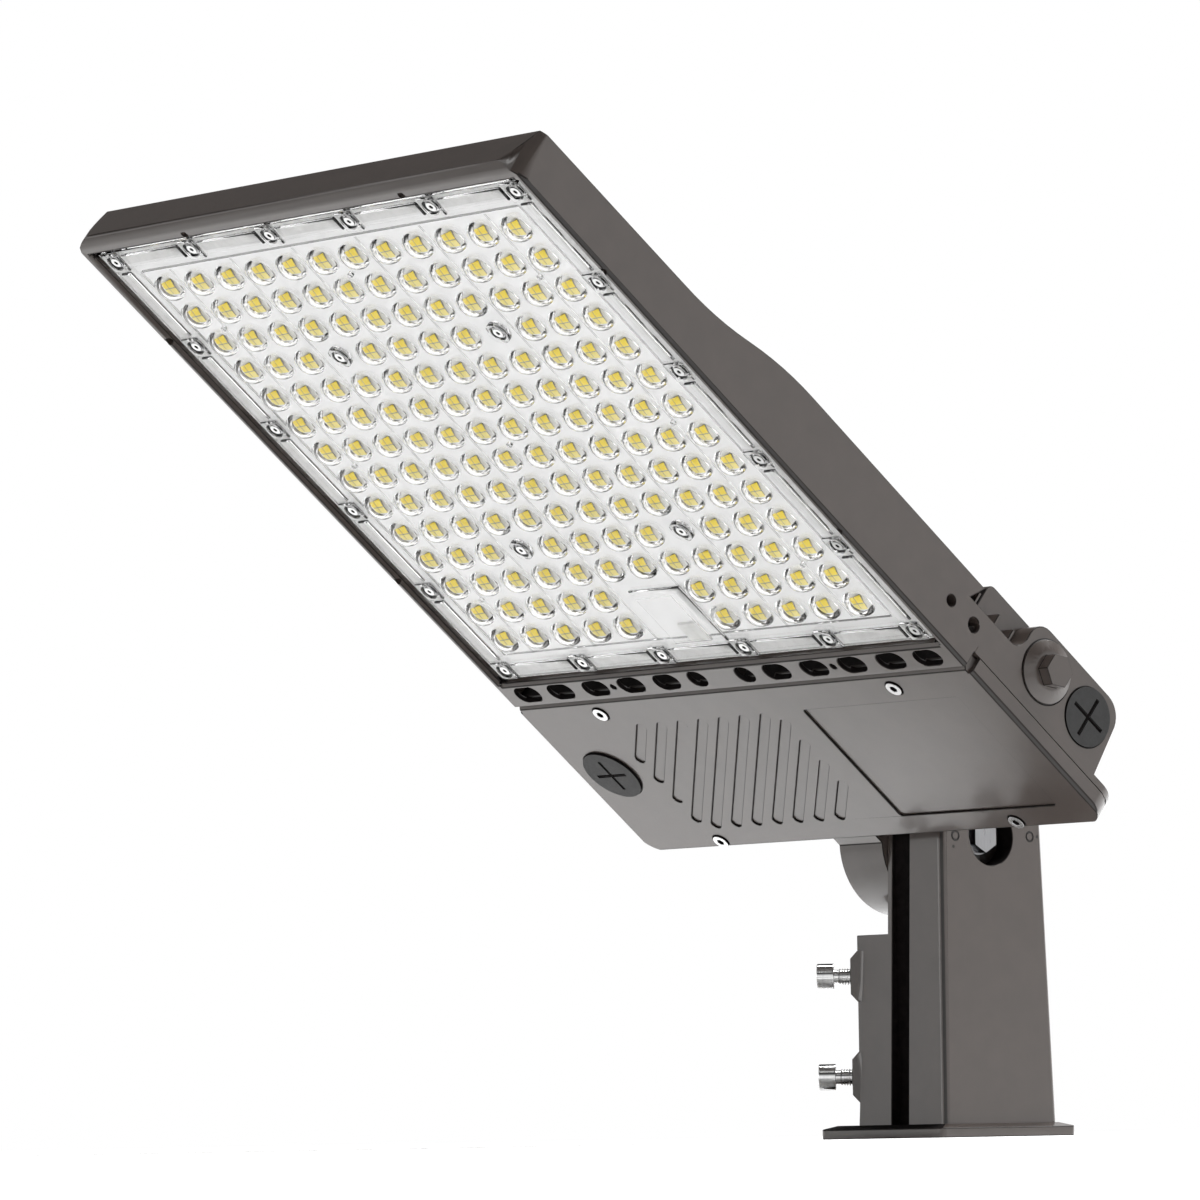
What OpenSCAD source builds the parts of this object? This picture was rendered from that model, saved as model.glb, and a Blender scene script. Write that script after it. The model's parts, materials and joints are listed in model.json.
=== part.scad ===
// Shoebox area light with a tilting slip fitter arm for a pole tenon
// Origin: centre of the arm's base, on the tenon axis. X across, Y to the back, Z up

/* [Tilt joint] */
// Tilt of the head above level, degrees
head_tilt = 38.8; // [0:0.2:60]
// Height of the tilt axis above the base
pivot_h = 172.5; // [168:0.5:180]
// Depth of the tilt axis behind the front plane of the head
axis_depth = 34.4; // [33:0.2:36]
// Distance from the tilt axis to the near edge of the head
axis_gap = 42.5; // [42.5:0.5:46]

/* [Head shell] */
// Width of the head
head_w = 392; // [388:1:400]
// Length of the head
head_l = 539; // [535:1:550]
// Corner radius of the head in plan
head_r = 16; // [10:1:20]
// Narrowing of each side wall towards the back
side_draft = 1.5; // [0:0.1:2]
// Height of the back at the far end
thin_h = 30.2; // [28:0.2:32]
// Length of the low back
thin_l = 129.3; // [110:1:140]
// Rise of the low back over its length
thin_rise = 1.2; // [0:0.1:2]
// Length of the sweep from the low back to the high back
sweep_l = 103.6; // [90:1:120]
// Height of the high back
bulge_h = 44.1; // [42:0.2:46]
// Set back of the front edge at the far end
end_lip = 4.7; // [3:0.1:6]
// Height of the chamfer at the far end
end_cham = 4; // [3:0.1:6]
// Slope of the far end, as a distance at the back
end_draft = 6.7; // [3:0.1:9]
// Chamfer along the front edges
rim_cham = 1.8; // [1:0.1:2.5]
// Thickness of the outer walls
wall = 3; // [2.5:0.1:3.5]
// Depth of the side notch floor below the front plane
notch_z = 33.3; // [31:0.2:36]
// Length of the notch floor
notch_l = 37.3; // [34:0.5:40]
// Lean of the far wall of the notch
notch_lean = 5.8; // [3:0.2:8]
// Fillet at the near end of the notch
notch_r = 9; // [6:0.5:10]

/* [Cooling fins] */
// Thickness of a fin
fin_t = 2.5; // [2:0.1:3]
// Pitch of the fins
fin_pitch = 16; // [14:0.5:18]

/* [Compartment and side bosses] */
// Set back of each compartment side from the side of the head
comp_side = 14.5; // [13:0.5:16]
// Height of the compartment
comp_h = 58; // [57.9:0.1:60]
// Thickness of the compartment walls
comp_wall = 4; // [3:0.1:4.5]
// Reach of the compartment beyond the cover edge, to the far side
comp_reach = 5; // [4:0.1:6]
// Radius of the far top edge of the compartment
comp_top_r = 4.5; // [3:0.1:6]
// Radius of the upright end corners
comp_r = 9.6; // [6:0.2:12]
// Set back of the end wall from the near edge of the head
end_set = 14.3; // [14:0.1:15.5]
// Lean of the end wall over its height
end_lean = 2.6; // [1:0.1:3.5]
// Thickness of the end flange
flange_t = 4; // [3:0.1:5]
// Height of the side bosses
ear_h = 57.8; // [56:0.2:57.8]
// Distance from the near edge to the foot of a side boss
ear_set = 23.9; // [22:0.1:25]
// Near radius of a side boss
ear_r = 14; // [10:0.5:16]
// Far radius of a side boss
ear_far_r = 11; // [8:0.5:12]
// Thickness of the small webs behind the side bosses
web_t = 2; // [1.5:0.1:3]
// Height of the small webs
web_h = 44; // [40:0.5:46]

/* [Vents and small holes] */
// Thickness of the vent strip
strip_t = 3; // [2.5:0.1:4]
// Width of a vent slot
vent_h = 12.9; // [10:0.1:13.2]
// Length of a full vent slot
vent_l = 21; // [17:0.5:23]
// Length of the two middle vent slots
vent_mid_l = 14.3; // [13:0.1:16]
// Radius of the small blind holes in the rim
pin_hole_r = 2.2; // [1.5:0.1:2.5]
// Depth of the small blind holes
pin_hole_d = 4; // [3:0.5:5]
// Radius of the small side hole
side_hole_r = 3.3; // [2.5:0.1:4]
// Radius of the large side hole
side_hole_big_r = 4.3; // [3.5:0.1:5]
// Depth of the side holes below the front plane
side_hole_z = 22.1; // [20:0.1:24]

/* [Optic plate] */
// Width of the rim beside the lens pocket
rim_w = 6.2; // [5.6:0.1:8]
// Width of the rim at the far end of the lens pocket
rim_far = 12.5; // [12:0.1:14]
// Width of the vent strip between the lens pocket and the cover
band_w = 19; // [18.6:0.1:20]
// Corner radius of the lens pocket
pocket_r = 6; // [4:0.5:8]
// Chamfer of the pocket edge
pocket_cham = 2; // [1:0.1:2.5]
// Gap round the optic plate
lens_gap = 2.5; // [2:0.1:3.2]
// Depth of the optic plate below the front plane
lens_z = 3.2; // [3:0.1:3.6]
// Thickness of the optic plate
lens_t = 2; // [1.6:0.1:2]
// Thickness of the rim of the optic plate
lens_rim_t = 3; // [2.8:0.1:3.2]
// Radius of an optic at its foot
optic_r = 10; // [9:0.1:10.4]
// Height of an optic
optic_h = 6; // [5:0.1:6.5]
// Height of the raised bosses and bars of the plate
lens_boss_h = 1.6; // [1:0.1:2]
// Side of a square screw boss
lens_boss_w = 14.5; // [13.5:0.1:15]
// Inset of the edge screws from the plate edge
lens_screw_inset = 9.5; // [8.8:0.1:10]
// Width of the raised bars between the bosses
bar_w = 5.5; // [4:0.1:7]
// Radius of the small clear pegs
peg_r = 1.6; // [1.2:0.1:2]
// Height of the pegs
peg_h = 2.4; // [1.5:0.1:3]

/* [Light board] */
// Thickness of the light board
board_t = 1.6; // [1.4:0.1:1.8]
// Depth of the board seat below the front plane
board_seat = 8; // [7.8:0.1:8.2]
// Thickness of the plate behind the board
floor_t = 4; // [3.5:0.1:5]
// Side of a light package
led_w = 8; // [6:0.2:10]
// Offset of a light package from its optic, across
led_dx = 2.5; // [0:0.1:3]
// Offset of a light package from its optic, along the head
led_dy = 1.5; // [0:0.1:2]
// Thickness of a light package
led_t = 0.8; // [0.6:0.1:1]
// Thickness of the lens gasket
gasket_t = 0.6; // [0.4:0.1:0.8]
// Width of the lens gasket
gasket_w = 5; // [4:0.1:6]

/* [Driver cover] */
// Length of the driver cover
cover_l = 133.5; // [133:0.1:136]
// Depth of the parting line below the front plane
seat_z = 10.6; // [10.2:0.1:11.2]
// Thickness of the cover
cover_t = 3; // [2.6:0.1:3.4]
// Thickness of the cover skirt
skirt_t = 3.5; // [3:0.1:4]
// Chamfer of the far edge of the cover
cover_cham = 2.4; // [1.5:0.1:2.6]
// Thickness of the cover gasket
seal_t = 0.6; // [0.4:0.1:0.8]
// Width of a slanted groove
groove_w = 6.3; // [5:0.1:7]
// Depth of a slanted groove
groove_d = 1; // [0.6:0.1:1.4]
// Step between the grooves, along the edge
groove_step = 18.17; // [17:0.1:19]
// Reach of the first groove along the edge
groove_first = 26.1; // [20:0.1:30]
// Length of the shallow panel
panel_l = 128.8; // [120:0.5:132]
// Width of the shallow panel
panel_w = 93.5; // [88:0.5:96]
// Depth of the shallow panel
panel_d = 1.2; // [0.8:0.1:1.4]
// Distance of the cover screws from the side of the head
cover_screw_in = 69; // [67:1:72]
// Radius of the cover screw heads
cover_head_r = 5; // [4.5:0.1:5.3]
// Radius of the cover screw shanks
cover_shank_r = 2.5; // [2:0.1:2.7]

/* [Plugs and side bolts] */
// Radius of the sensor plug
plug_r = 19.3; // [18:0.1:20]
// Height of the plug faces
plug_h = 1.6; // [1.4:0.1:2]
// Radius of the plug stems
stem_r = 12; // [10:0.2:13]
// Length of the cross slot in a plug
cross_l = 25; // [20:0.5:26]
// Width of the cross slot
cross_w = 2.3; // [1.6:0.1:2.6]
// Depth of the cross slot
cross_d = 0.9; // [0.5:0.1:1.2]
// Radius of the side plugs
side_plug_r = 16.8; // [16:0.1:17.2]
// Radius of the cone flange of a side bolt
cone_r = 18; // [17:0.1:18.6]
// Radius of the cone where it meets the hex
cone_top_r = 10.3; // [10:0.1:12]
// Rise of the cone above the side of the head
cone_h = 3.3; // [2.5:0.1:4.5]
// Width across flats of the side bolts
side_bolt_af = 17; // [16:0.1:18]
// Thickness of the side bolt heads
side_bolt_k = 7; // [6:0.1:8]
// Radius of the side bolt shanks
side_bolt_r = 4.9; // [4:0.1:5]

/* [Knuckle] */
// Radius of the knuckle drum
drum_r = 43.1; // [42.5:0.1:43.5]
// Width of the knuckle drum
drum_w = 37.1; // [36:0.1:37.6]
// Thickness of the knuckle flange
kn_flange_t = 13; // [10:0.5:13]
// Length of the knuckle flange
kn_flange_l = 115; // [112:1:118]
// Height of the knuckle flange
kn_flange_h = 42; // [40:0.5:42]
// Height of the neck front face above the front plane of the head
chin_z = 5.6; // [5:0.1:8]
// Thickness of the knuckle gasket
kn_gasket_t = 0.8; // [0.6:0.1:1]

/* [Arm] */
// Side of the square base plate
plate_w = 105; // [104:0.5:112]
// Corner radius of the base plate
plate_r = 3.8; // [3:0.1:6]
// Thickness of the base plate at its edge
plate_t = 5.4; // [5:0.1:6]
// Rise of the base plate to the arm's foot
plate_rise = 2.4; // [1.5:0.1:3]
// Width of the arm at its foot
arm_w = 92.4; // [91:0.2:94]
// Depth of the arm at its foot
arm_d = 88.2; // [87:0.2:89]
// Corner radius of the arm
arm_r = 4; // [3:0.1:5]
// Radius of the round top
lug_r = 39.6; // [39:0.1:39.8]
// Left face of the lug, left of the tenon axis
lug_x = 3.6; // [3.4:0.1:3.8]
// Height of the shoulder below the tilt axis
shoulder_drop = 55; // [54:0.5:60]
// Width of the front groove
slot_w = 14.5; // [12:0.5:16]
// Depth of the front groove
slot_d = 7; // [4:0.5:7.5]
// Distance of the corner chamfer from the tenon axis
corner_cut = 50; // [49:0.2:51]
// Radius of the tenon socket
socket_r = 31; // [30.4:0.1:31]
// Depth of the tenon socket
socket_l = 106; // [104:0.5:108]
// Radius of the wire way
way_r = 8; // [7:0.2:9]

/* [Clamp screws] */
// Height of the upper clamp screw
clamp_hi = 93.8; // [92:0.2:95]
// Height of the lower clamp screw
clamp_lo = 35.7; // [35:0.2:38]
// Reach of the screw bosses from the tenon axis
boss_reach = 54; // [53:0.2:55]
// Height of a boss at its foot
boss_foot = 29.3; // [28:0.2:31]
// Height of a boss at its face
boss_face = 20.4; // [19:0.2:22]
// Width of a boss
boss_w = 24; // [22:0.5:25]
// Radius of the clamp screws
clamp_r = 5; // [4.5:0.1:5]
// Length of the clamp screws under the head
clamp_l = 30; // [29:0.5:30.5]
// Radius of the clamp screw heads
clamp_head_r = 8; // [7.5:0.1:8.5]
// Height of the clamp screw heads
clamp_head_h = 10; // [9:0.2:11]
// Distance of the heads from the bosses
clamp_out = 10; // [9.8:0.1:10.4]
// Width across flats of the hex socket
clamp_key = 8; // [7:0.2:9]

/* [Pivot bolt] */
// Radius of the pivot bolt
pivot_r = 5; // [4.6:0.1:5.2]
// Width across flats of the bolt head and nut
pivot_af = 16.5; // [16:0.1:17]
// Height of the bolt head and nut
pivot_k = 6.4; // [6:0.1:7]
// Radius of the counterbore
cbore_r = 17; // [16:0.1:18]
// Depth of the counterbore
cbore_d = 12.6; // [12:0.1:13]
// Radius of the washers
washer_r = 10.5; // [10:0.1:12]
// Thickness of the washers
washer_t = 2; // [1.6:0.1:2.2]
// Radius of the drum recess for the nut
nut_bore_r = 14; // [13:0.1:15]
// Depth of the drum recess for the nut
nut_bore_d = 10; // [9.5:0.1:11]

/* [Driver and wiring] */
// Gap between the driver and the side of the compartment
driver_gap = 27; // [22:1:37]
// Width of the driver
driver_w = 60; // [55:1:62]
// Height of the driver
driver_h = 38; // [36:0.5:39]
// Radius of an output lead
lead_r = 1.1; // [0.9:0.1:1.3]
// Side of the surge protector
surge_w = 30; // [26:0.5:32]
// Length of the surge protector
surge_l = 46; // [40:1:50]
// Length of the terminal block
term_l = 44; // [36:1:48]

/* [Fits] */
// Radial play of a screw in its hole
play = 0.2; // [0.15:0.01:0.3]
// Radial play of a running fit
run_play = 0.06; // [0.03:0.01:0.09]
// Gap between the moving and the fixed bodies
apart = 0.5; // [0.4:0.05:0.6]
// Overrun of cuts
over = 1; // [0.5:0.1:2]

/* [Hidden] */
$fn = 48;

bronze = [0.30, 0.27, 0.25];
bronze_front = [0.42, 0.40, 0.38];
dark = [0.16, 0.16, 0.16];
clear = [0.85, 0.88, 0.88];
steel = [0.70, 0.70, 0.70];

// Ends of the head along Y
y_near = -axis_gap;
y_far = y_near - head_l;
hx = head_w / 2;
comp_w = head_w - 2 * comp_side;
cover_screw_x = head_w - 2 * cover_screw_in;
// Cover and vent strip
cover_far = y_near - cover_l;
strip_gap = 0.4;
strip_y = cover_far - strip_gap;
skirt_end = seat_z - seal_t;
// Centre of the optics
pocket_w = head_w - 2 * rim_w;
pocket_l = strip_y - band_w - rim_far - y_far;
grid_y = strip_y - band_w - pocket_l / 2;
pitch_x_share = 0.073762;
pitch_y_share = 0.062634;
pitch_x = pocket_w * pitch_x_share;
pitch_y = pocket_l * pitch_y_share;
columns = 12;
rows = 14;
blank_shares = [[3, 3], [8, 3], [3, 10], [8, 10], [5, 12], [6, 12], [5, 13], [6, 13]];
screw_shares = [[3, 3], [8, 3], [3, 10], [8, 10]];
peg_shares = [[5.5, 0.5], [0.5, 1.5], [10.5, 1.5], [0.5, 6.5], [5.5, 6.5], [10.5, 6.5],
    [10.5, 11.5], [0.5, 11.5]];
seam_shares = [0.5, 2.5, 4.5, 6.5, 8.5, 10.5];
// Lens pocket and optic plate
px = pocket_w / 2;
py = pocket_l / 2;
lx = px - lens_gap;
ly = py - lens_gap;
lens_back = lens_z + lens_t;
rim_back = lens_z + lens_rim_t;
ledge_z = rim_back + gasket_t;
board_front = board_seat - board_t;
led_front = board_front - led_t;
boss_front = lens_z - lens_boss_h;
floor_back = board_seat + floor_t;
board_x = pitch_x * columns / 2;
board_y = pitch_y * rows / 2 + pitch_y / 14;
board_gap = 0.6;
sx = lx - lens_screw_inset;
side_screws = 6;
sy_step = (2 * ly - lens_boss_w) / 5;
sy = sy_step * 5 / 2;
sx_step = 2 * sx / 5;
optic_ball = (optic_r * optic_r + optic_h * optic_h) / (2 * optic_h);
edge_places = [for (i = [0 : 5]) for (s = [-1, 1]) [sx * s, -sy + i * sy_step]];
end_places = [for (i = [1 : 4]) for (s = [-1, 1]) [-sx + i * sx_step, sy * s]];
lens_places = concat(edge_places, end_places);
lens_head_r = 3.3;
lens_shank_r = 2;
lens_ring_r = 5.35;
lens_head_h = 1.4;
lens_shank_l = 7;
centre_boss_r = 7;
// Window over the board connector
win_x0 = -pitch_x * 0.55;
win_x1 = pitch_x * 1.05;
win_y0 = pitch_y * 5.265;
win_y1 = pitch_y * 7.275;
win_in_x1 = pitch_x * 0.6;
win_in_y0 = pitch_y * 5.552;
win_r = 4;
win_front = lens_z - 0.9 * lens_boss_h;
win_deep = 0.6 * lens_boss_h;
// Compartment
cx = comp_w / 2;
cx_in = cx - comp_wall;
comp_far = cover_far - comp_reach;
comp_far_in = cover_far + skirt_t;
end_y = y_near - end_set;
end_in = end_y - comp_wall;
comp_back = comp_h - comp_wall;
flange_back = seat_z + flange_t;
ear_foot = y_near - ear_set;
// Vent strip
vent_wall = 3;
pocket_near = grid_y + py;
vent_far = pocket_near + vent_wall;
vent_y = (strip_y + grid_y + py) / 2;
vent_shares = [0.244, 0.406, 0.568, 0.73, 0.884];
vent_mid_share = 0.105;
strip_hole_share = 0.487;
// Side bosses
dish_y = y_near - 85.7 * cover_l / 133.5;
dish_z = (ear_h + seat_z + flange_t) / 2 + rim_cham / 2;
conduit_y = y_near - 47 * cover_l / 133.5;
seat_d = 2;
plug_seat_x = hx - seat_d;
bolt_seat_x = hx - over;
nut_t = 5;
// Notch of the side profile
notch_far = y_near - 153.8 * cover_l / 133.5;
notch_near = notch_far + notch_l;
ear_rise_y = notch_near + notch_r;
// Sweep of the back
sweep_y = y_far + thin_l;
sweep_z = thin_h + thin_rise;
sweep_h = bulge_h - sweep_z;
sweep_r = (sweep_l * sweep_l + sweep_h * sweep_h) / (4 * sweep_h);
sweep_a = 2 * atan(sweep_h / sweep_l);
// Drum and lug planes
drum_x1 = -lug_x - apart;
drum_x0 = drum_x1 - drum_w;
drum_mid = (drum_x0 + drum_x1) / 2;
kn_x0 = drum_mid - kn_flange_l * 0.41;
kn_x1 = kn_x0 + kn_flange_l;
kn_z0 = flange_back + apart;
kn_z1 = kn_z0 + kn_flange_h;
kn_y1 = end_y + kn_flange_t;
chin_y = y_near + 1.3 * over;
neck_way_r = way_r;
neck_way_x = drum_x0 + nut_bore_d + wall + way_r + over;
hub_r = pivot_r + 4;
ring_way_r = hub_r + 10;
seal_r = 26;
seal_w = 3;
seal_d = 1.8;
kn_screw_r = 3;
kn_screw_head_r = 5;
kn_screw_head_h = 4;
kn_screw_l = 14;
kn_inset = 10;
// Arm
draft_front = 1.8;
draft_back = 1.1;
draft_right = 1.5;
draft_left = 0.6;
arm_top = pivot_h + lug_r;
lug_right = arm_w / 2 - pivot_h * tan(draft_right);
shoulder_z = pivot_h - shoulder_drop;
cbore_x = lug_right - cbore_d;
mark_r = 3;
mark_w = 0.5;
mark_d = 0.3;
// Driver and wiring
lead_z = 18.5;
lead_x = 6;
lead_dx = 3.5;
tunnel_w = 24;
tunnel_back = lead_z + 4;
conn_w = 16;
conn_far = grid_y + board_y - 11;
conn_near = grid_y + board_y + 3.4;
conn_front = boss_front + 2.2;
tail_far = grid_y + board_y + play;
tail_back = lead_z + 2.5;
driver_y = comp_far_in + 18;
driver_x = lead_x - lead_dx - 22;
driver_l = cx_in - driver_x - driver_gap;

function arc(cy, cz, r, a0, a1, n = 8) =
    [for (i = [0 : n]) [cy + r * cos(a0 + (a1 - a0) * i / n), cz + r * sin(a0 + (a1 - a0) * i / n)]];
function grid(p) = [(p[0] - (columns - 1) / 2) * pitch_x, grid_y + (p[1] - (rows - 1) / 2) * pitch_y];
function blank(i, j) = len([for (b = blank_shares) if (b[0] == i && b[1] == j) b]) > 0;
optics = [for (i = [0 : columns - 1]) for (j = [0 : rows - 1]) if (!blank(i, j)) grid([i, j])];

module in_head() {
    translate([0, 0, pivot_h]) rotate([-head_tilt, 0, 0]) translate([0, 0, -axis_depth]) children();
}
module bx(x0, x1, y0, y1, z0, z1) {
    translate([x0, y0, z0]) cube([x1 - x0, y1 - y0, z1 - z0]);
}
module rrect(x0, x1, y0, y1, r) {
    union() {
        translate([x0 + r, y0]) square([x1 - x0 - 2 * r, y1 - y0]);
        translate([x0, y0 + r]) square([x1 - x0, y1 - y0 - 2 * r]);
        for (x = [x0 + r, x1 - r]) for (y = [y0 + r, y1 - r]) translate([x, y]) circle(r);
    }
}
module rbox(x0, x1, y0, y1, z0, z1, r) {
    translate([0, 0, z0]) linear_extrude(z1 - z0) rrect(x0, x1, y0, y1, r);
}
module along_x(x0, x1) {
    translate([x0, 0, 0]) rotate([90, 0, 90]) linear_extrude(x1 - x0) children();
}
module along_y(y0, y1) {
    translate([0, y1, 0]) rotate([90, 0, 0]) linear_extrude(y1 - y0) children();
}
module rod_x(x0, x1, y, z, r) {
    translate([x0, y, z]) rotate([0, 90, 0]) cylinder(r = r, h = x1 - x0);
}
module rod_y(y0, y1, x, z, r) {
    translate([x, y0, z]) rotate([-90, 0, 0]) cylinder(r = r, h = y1 - y0);
}
module rod_z(z0, z1, x, y, r) {
    translate([x, y, z0]) cylinder(r = r, h = z1 - z0);
}
module hex_x(x0, x1, y, z, af) {
    translate([x0, y, z]) rotate([0, 90, 0]) cylinder(r = af / sqrt(3), h = x1 - x0, $fn = 6);
}
module stadium(cx0, cy0, l, h, z0, z1) {
    translate([cx0, cy0, z0]) linear_extrude(z1 - z0) union() {
        translate([-(l - h) / 2, -h / 2]) square([l - h, h]);
        for (s = [-1, 1]) translate([s * (l - h) / 2, 0]) circle(h / 2);
    }
}
module ring_x(x0, x1, y, z, r0, r1) {
    difference() {
        rod_x(x0, x1, y, z, r1);
        rod_x(x0 - over, x1 + over, y, z, r0);
    }
}
module frame_z(x0, x1, y0, y1, w, z0, z1, r) {
    difference() {
        rbox(x0, x1, y0, y1, z0, z1, r);
        rbox(x0 + w, x1 - w, y0 + w, y1 - w, z0 - over, z1 + over, max(r - w, w / 2));
    }
}

// Side view of the shell: far end, low back, sweep, high back, notch, side boss
module side_outline() {
    polygon(concat(
        [[y_far + end_lip, 0], [y_far, end_cham], [y_far + end_draft, thin_h]],
        arc(sweep_y, sweep_z + sweep_r, sweep_r, -90, -90 + sweep_a, 6),
        arc(sweep_y + sweep_l, bulge_h - sweep_r, sweep_r, 90 + sweep_a, 90, 6),
        [[notch_far + notch_lean, bulge_h], [notch_far, notch_z]],
        arc(notch_near, notch_z + notch_r, notch_r, -90, 0, 6),
        arc(ear_rise_y + ear_far_r, ear_h - ear_far_r, ear_far_r, 180, 90, 6),
        arc(ear_foot - ear_r - wall, ear_h - ear_r, ear_r, 90, 0, 8),
        [[ear_foot, flange_back], [ear_foot, seat_z], [strip_y, seat_z], [strip_y, 0]]));
}
module end_outline() {
    polygon([[-hx + rim_cham, 0], [-hx, rim_cham], [-hx + side_draft, comp_h], [hx - side_draft, comp_h],
        [hx, rim_cham], [hx - rim_cham, 0]]);
}
module comp_outline() {
    polygon(concat([[comp_far, seat_z]],
        arc(comp_far + comp_top_r, comp_h - comp_top_r, comp_top_r, 180, 90, 6),
        arc(end_y - end_lean - comp_top_r, comp_h - comp_top_r, comp_top_r, 90, 0, 6),
        [[end_y, flange_back], [end_y, seat_z]]));
}
module shell_outer() {
    intersection() {
        along_x(-hx - over, hx + over) side_outline();
        along_y(y_far - over, y_near + over) end_outline();
        rbox(-hx, hx, y_far, y_near + head_r, -over, comp_h + over, head_r);
    }
    intersection() {
        along_x(-cx, cx) comp_outline();
        rbox(-cx, cx, comp_far - comp_r - over, end_y, seat_z, comp_h + over, comp_r);
    }
    intersection() {
        rbox(-hx, hx, y_far, y_near, seat_z, flange_back, head_r);
        bx(-hx, hx, cover_far, y_near, seat_z, flange_back);
    }
    // Pad behind the knuckle flange, and posts of the near cover screws
    bx(kn_x0, kn_x1, end_in, end_y - kn_gasket_t, kn_z0, kn_z1);
    for (s = [-1, 1]) {
        rod_z(seat_z, flange_back + cover_shank_r * 4, s * cover_screw_x / 2, near_screw_y, near_post_r);
        bx(s * cover_screw_x / 2 - web_t, s * cover_screw_x / 2 + web_t, end_in, near_screw_y,
            seat_z, flange_back + cover_shank_r * 4);
    }
}
near_screw_y = y_near - cover_head_r - over;
far_screw_y = cover_far + 11.5 * cover_l / 133.5;
near_post_r = 5;
far_post_r = 7;
post_z = seat_z + 24;

module fin_gaps() {
    first = -floor((hx - wall - fin_t) / fin_pitch);
    gap = fin_pitch - fin_t;
    far_in = y_far + end_draft + wall;
    for (k = [first : -first]) {
        x0 = max(k * fin_pitch - gap / 2, -hx + wall + side_draft);
        x1 = min(k * fin_pitch + gap / 2, hx - wall - side_draft);
        if (x1 - x0 > fin_t) bx(x0, x1, far_in, comp_far, floor_back, comp_h + over);
    }
}
module pocket_edge() {
    for (s = [-1, 1]) {
        along_y(grid_y - py, grid_y + py)
            polygon([[s * (px - over), -over], [s * (px + pocket_cham + over), -over], [s * px,
                pocket_cham],
                [s * (px - over), pocket_cham]]);
        along_x(-px, px)
            polygon([[grid_y + s * (py - over), -over], [grid_y + s * (py + pocket_cham + over), -over],
                [grid_y + s * py, pocket_cham], [grid_y + s * (py - over), pocket_cham]]);
    }
}
module housing() {
    color(bronze) in_head() {
        difference() {
            union() {
                difference() {
                    shell_outer();
                    fin_gaps();
                }
                // Tunnel of the leads across the vent gap
                bx(-tunnel_w / 2, tunnel_w / 2, tail_far - play - wall, comp_far, floor_back - over,
                    tunnel_back);
            }
            // Ways of the leads and pocket of the connector tail
            lead_ways();
            bx(lead_x - conn_w / 2 - play, lead_x + conn_w / 2 + play, tail_far - play, conn_near + play,
                ledge_z - over, tail_back + play);
            // Seat of the knuckle gasket
            bx(kn_x0 - play, kn_x1 + play, end_y - kn_gasket_t, end_y + over, kn_z0 - play, kn_z1 + play);
            // Lens pocket with its ledge and board seat
            rbox(-px, px, grid_y - py, grid_y + py, -over, ledge_z, pocket_r);
            pocket_edge();
            rbox(-board_x - board_gap, board_x + board_gap, grid_y - board_y - board_gap,
                grid_y + board_y + board_gap, ledge_z - over, board_seat, pocket_r / 2);
            // Vent gap behind the strip
            for (s = [-1, 1])
                bx(min(s * tunnel_w / 2, s * (hx - 2 * wall - side_draft)),
                    max(s * tunnel_w / 2, s * (hx - 2 * wall - side_draft)),
                    vent_far, comp_far, strip_t, floor_back + over);
            for (s = [-1, 1]) {
                stadium(s * hx * vent_mid_share, vent_y, vent_mid_l, vent_h, -over, strip_t + over);
                for (v = vent_shares)
                    stadium(s * hx * v, vent_y, vent_l, vent_h, -over, strip_t + over);
                rod_z(-over, strip_t + over, s * hx * strip_hole_share, vent_y, pin_hole_r);
                for (p = [[hx * 0.494, y_far + 8.9 * end_lip / 4.7], [hx - 3.6, grid_y - py * 0.618],
                    [hx - 3.6, grid_y + py * 0.496]])
                    rod_z(-over, pin_hole_d, s * p[0], p[1], pin_hole_r);
            }
            // Driver compartment
            rbox(-cx_in, cx_in, comp_far_in, end_in, seat_z - over, comp_back, comp_r - comp_wall);
            // Gaps between the side walls and the compartment
            for (s = [-1, 1])
                bx(min(s * cx, s * (hx - wall - side_draft)), max(s * cx, s * (hx - wall - side_draft)),
                    comp_far - over, ear_rise_y - wall, flange_back, comp_h + over);
            // Seats of the side bolts and side plugs, and side holes
            for (s = [-1, 1]) mirror([s < 0 ? 1 : 0, 0, 0]) {
                rod_x(bolt_seat_x, hx + over, dish_y, dish_z, cone_r + 2 * play);
                rod_x(cx_in - over, bolt_seat_x + over, dish_y, dish_z, side_bolt_r + play);
                rod_x(plug_seat_x, hx + over, conduit_y, dish_z, side_plug_r + play);
                rod_x(cx_in - over, plug_seat_x + over, conduit_y, dish_z, stem_r + play);
                rod_x(hx - 2 * wall - side_draft - over, hx + over, notch_far - 2.3 * side_hole_big_r,
                    side_hole_z, side_hole_r);
                rod_x(hx - 2 * wall - side_draft - over, hx + over, notch_far + 2.5 * side_hole_big_r,
                    side_hole_z, side_hole_big_r);
            }
            // Screw holes
            for (p = lens_places)
                rod_z(ledge_z - over, ledge_z + lens_shank_l - lens_rim_t, p[0], grid_y + p[1],
                    lens_shank_r + play / 2);
            for (p = screw_shares)
                rod_z(board_seat - over, floor_back - over / 2, grid(p)[0], grid(p)[1],
                    lens_shank_r + play / 2);
            for (s = [-1, 1])
                rod_z(seat_z - over, flange_back + cover_shank_r * 3, s * cover_screw_x / 2, near_screw_y,
                    cover_shank_r + play / 2);
            for (p = kn_places)
                rod_y(end_in - over, end_y + over, p[0], p[1], kn_screw_r + play);
            rod_y(end_in - over, end_y + over, neck_way_x, axis_depth, neck_way_r);
            rod_y(end_in - over, end_y + over, vent_plug_x, vent_plug_z, vent_plug_r + play);
        }
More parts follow.
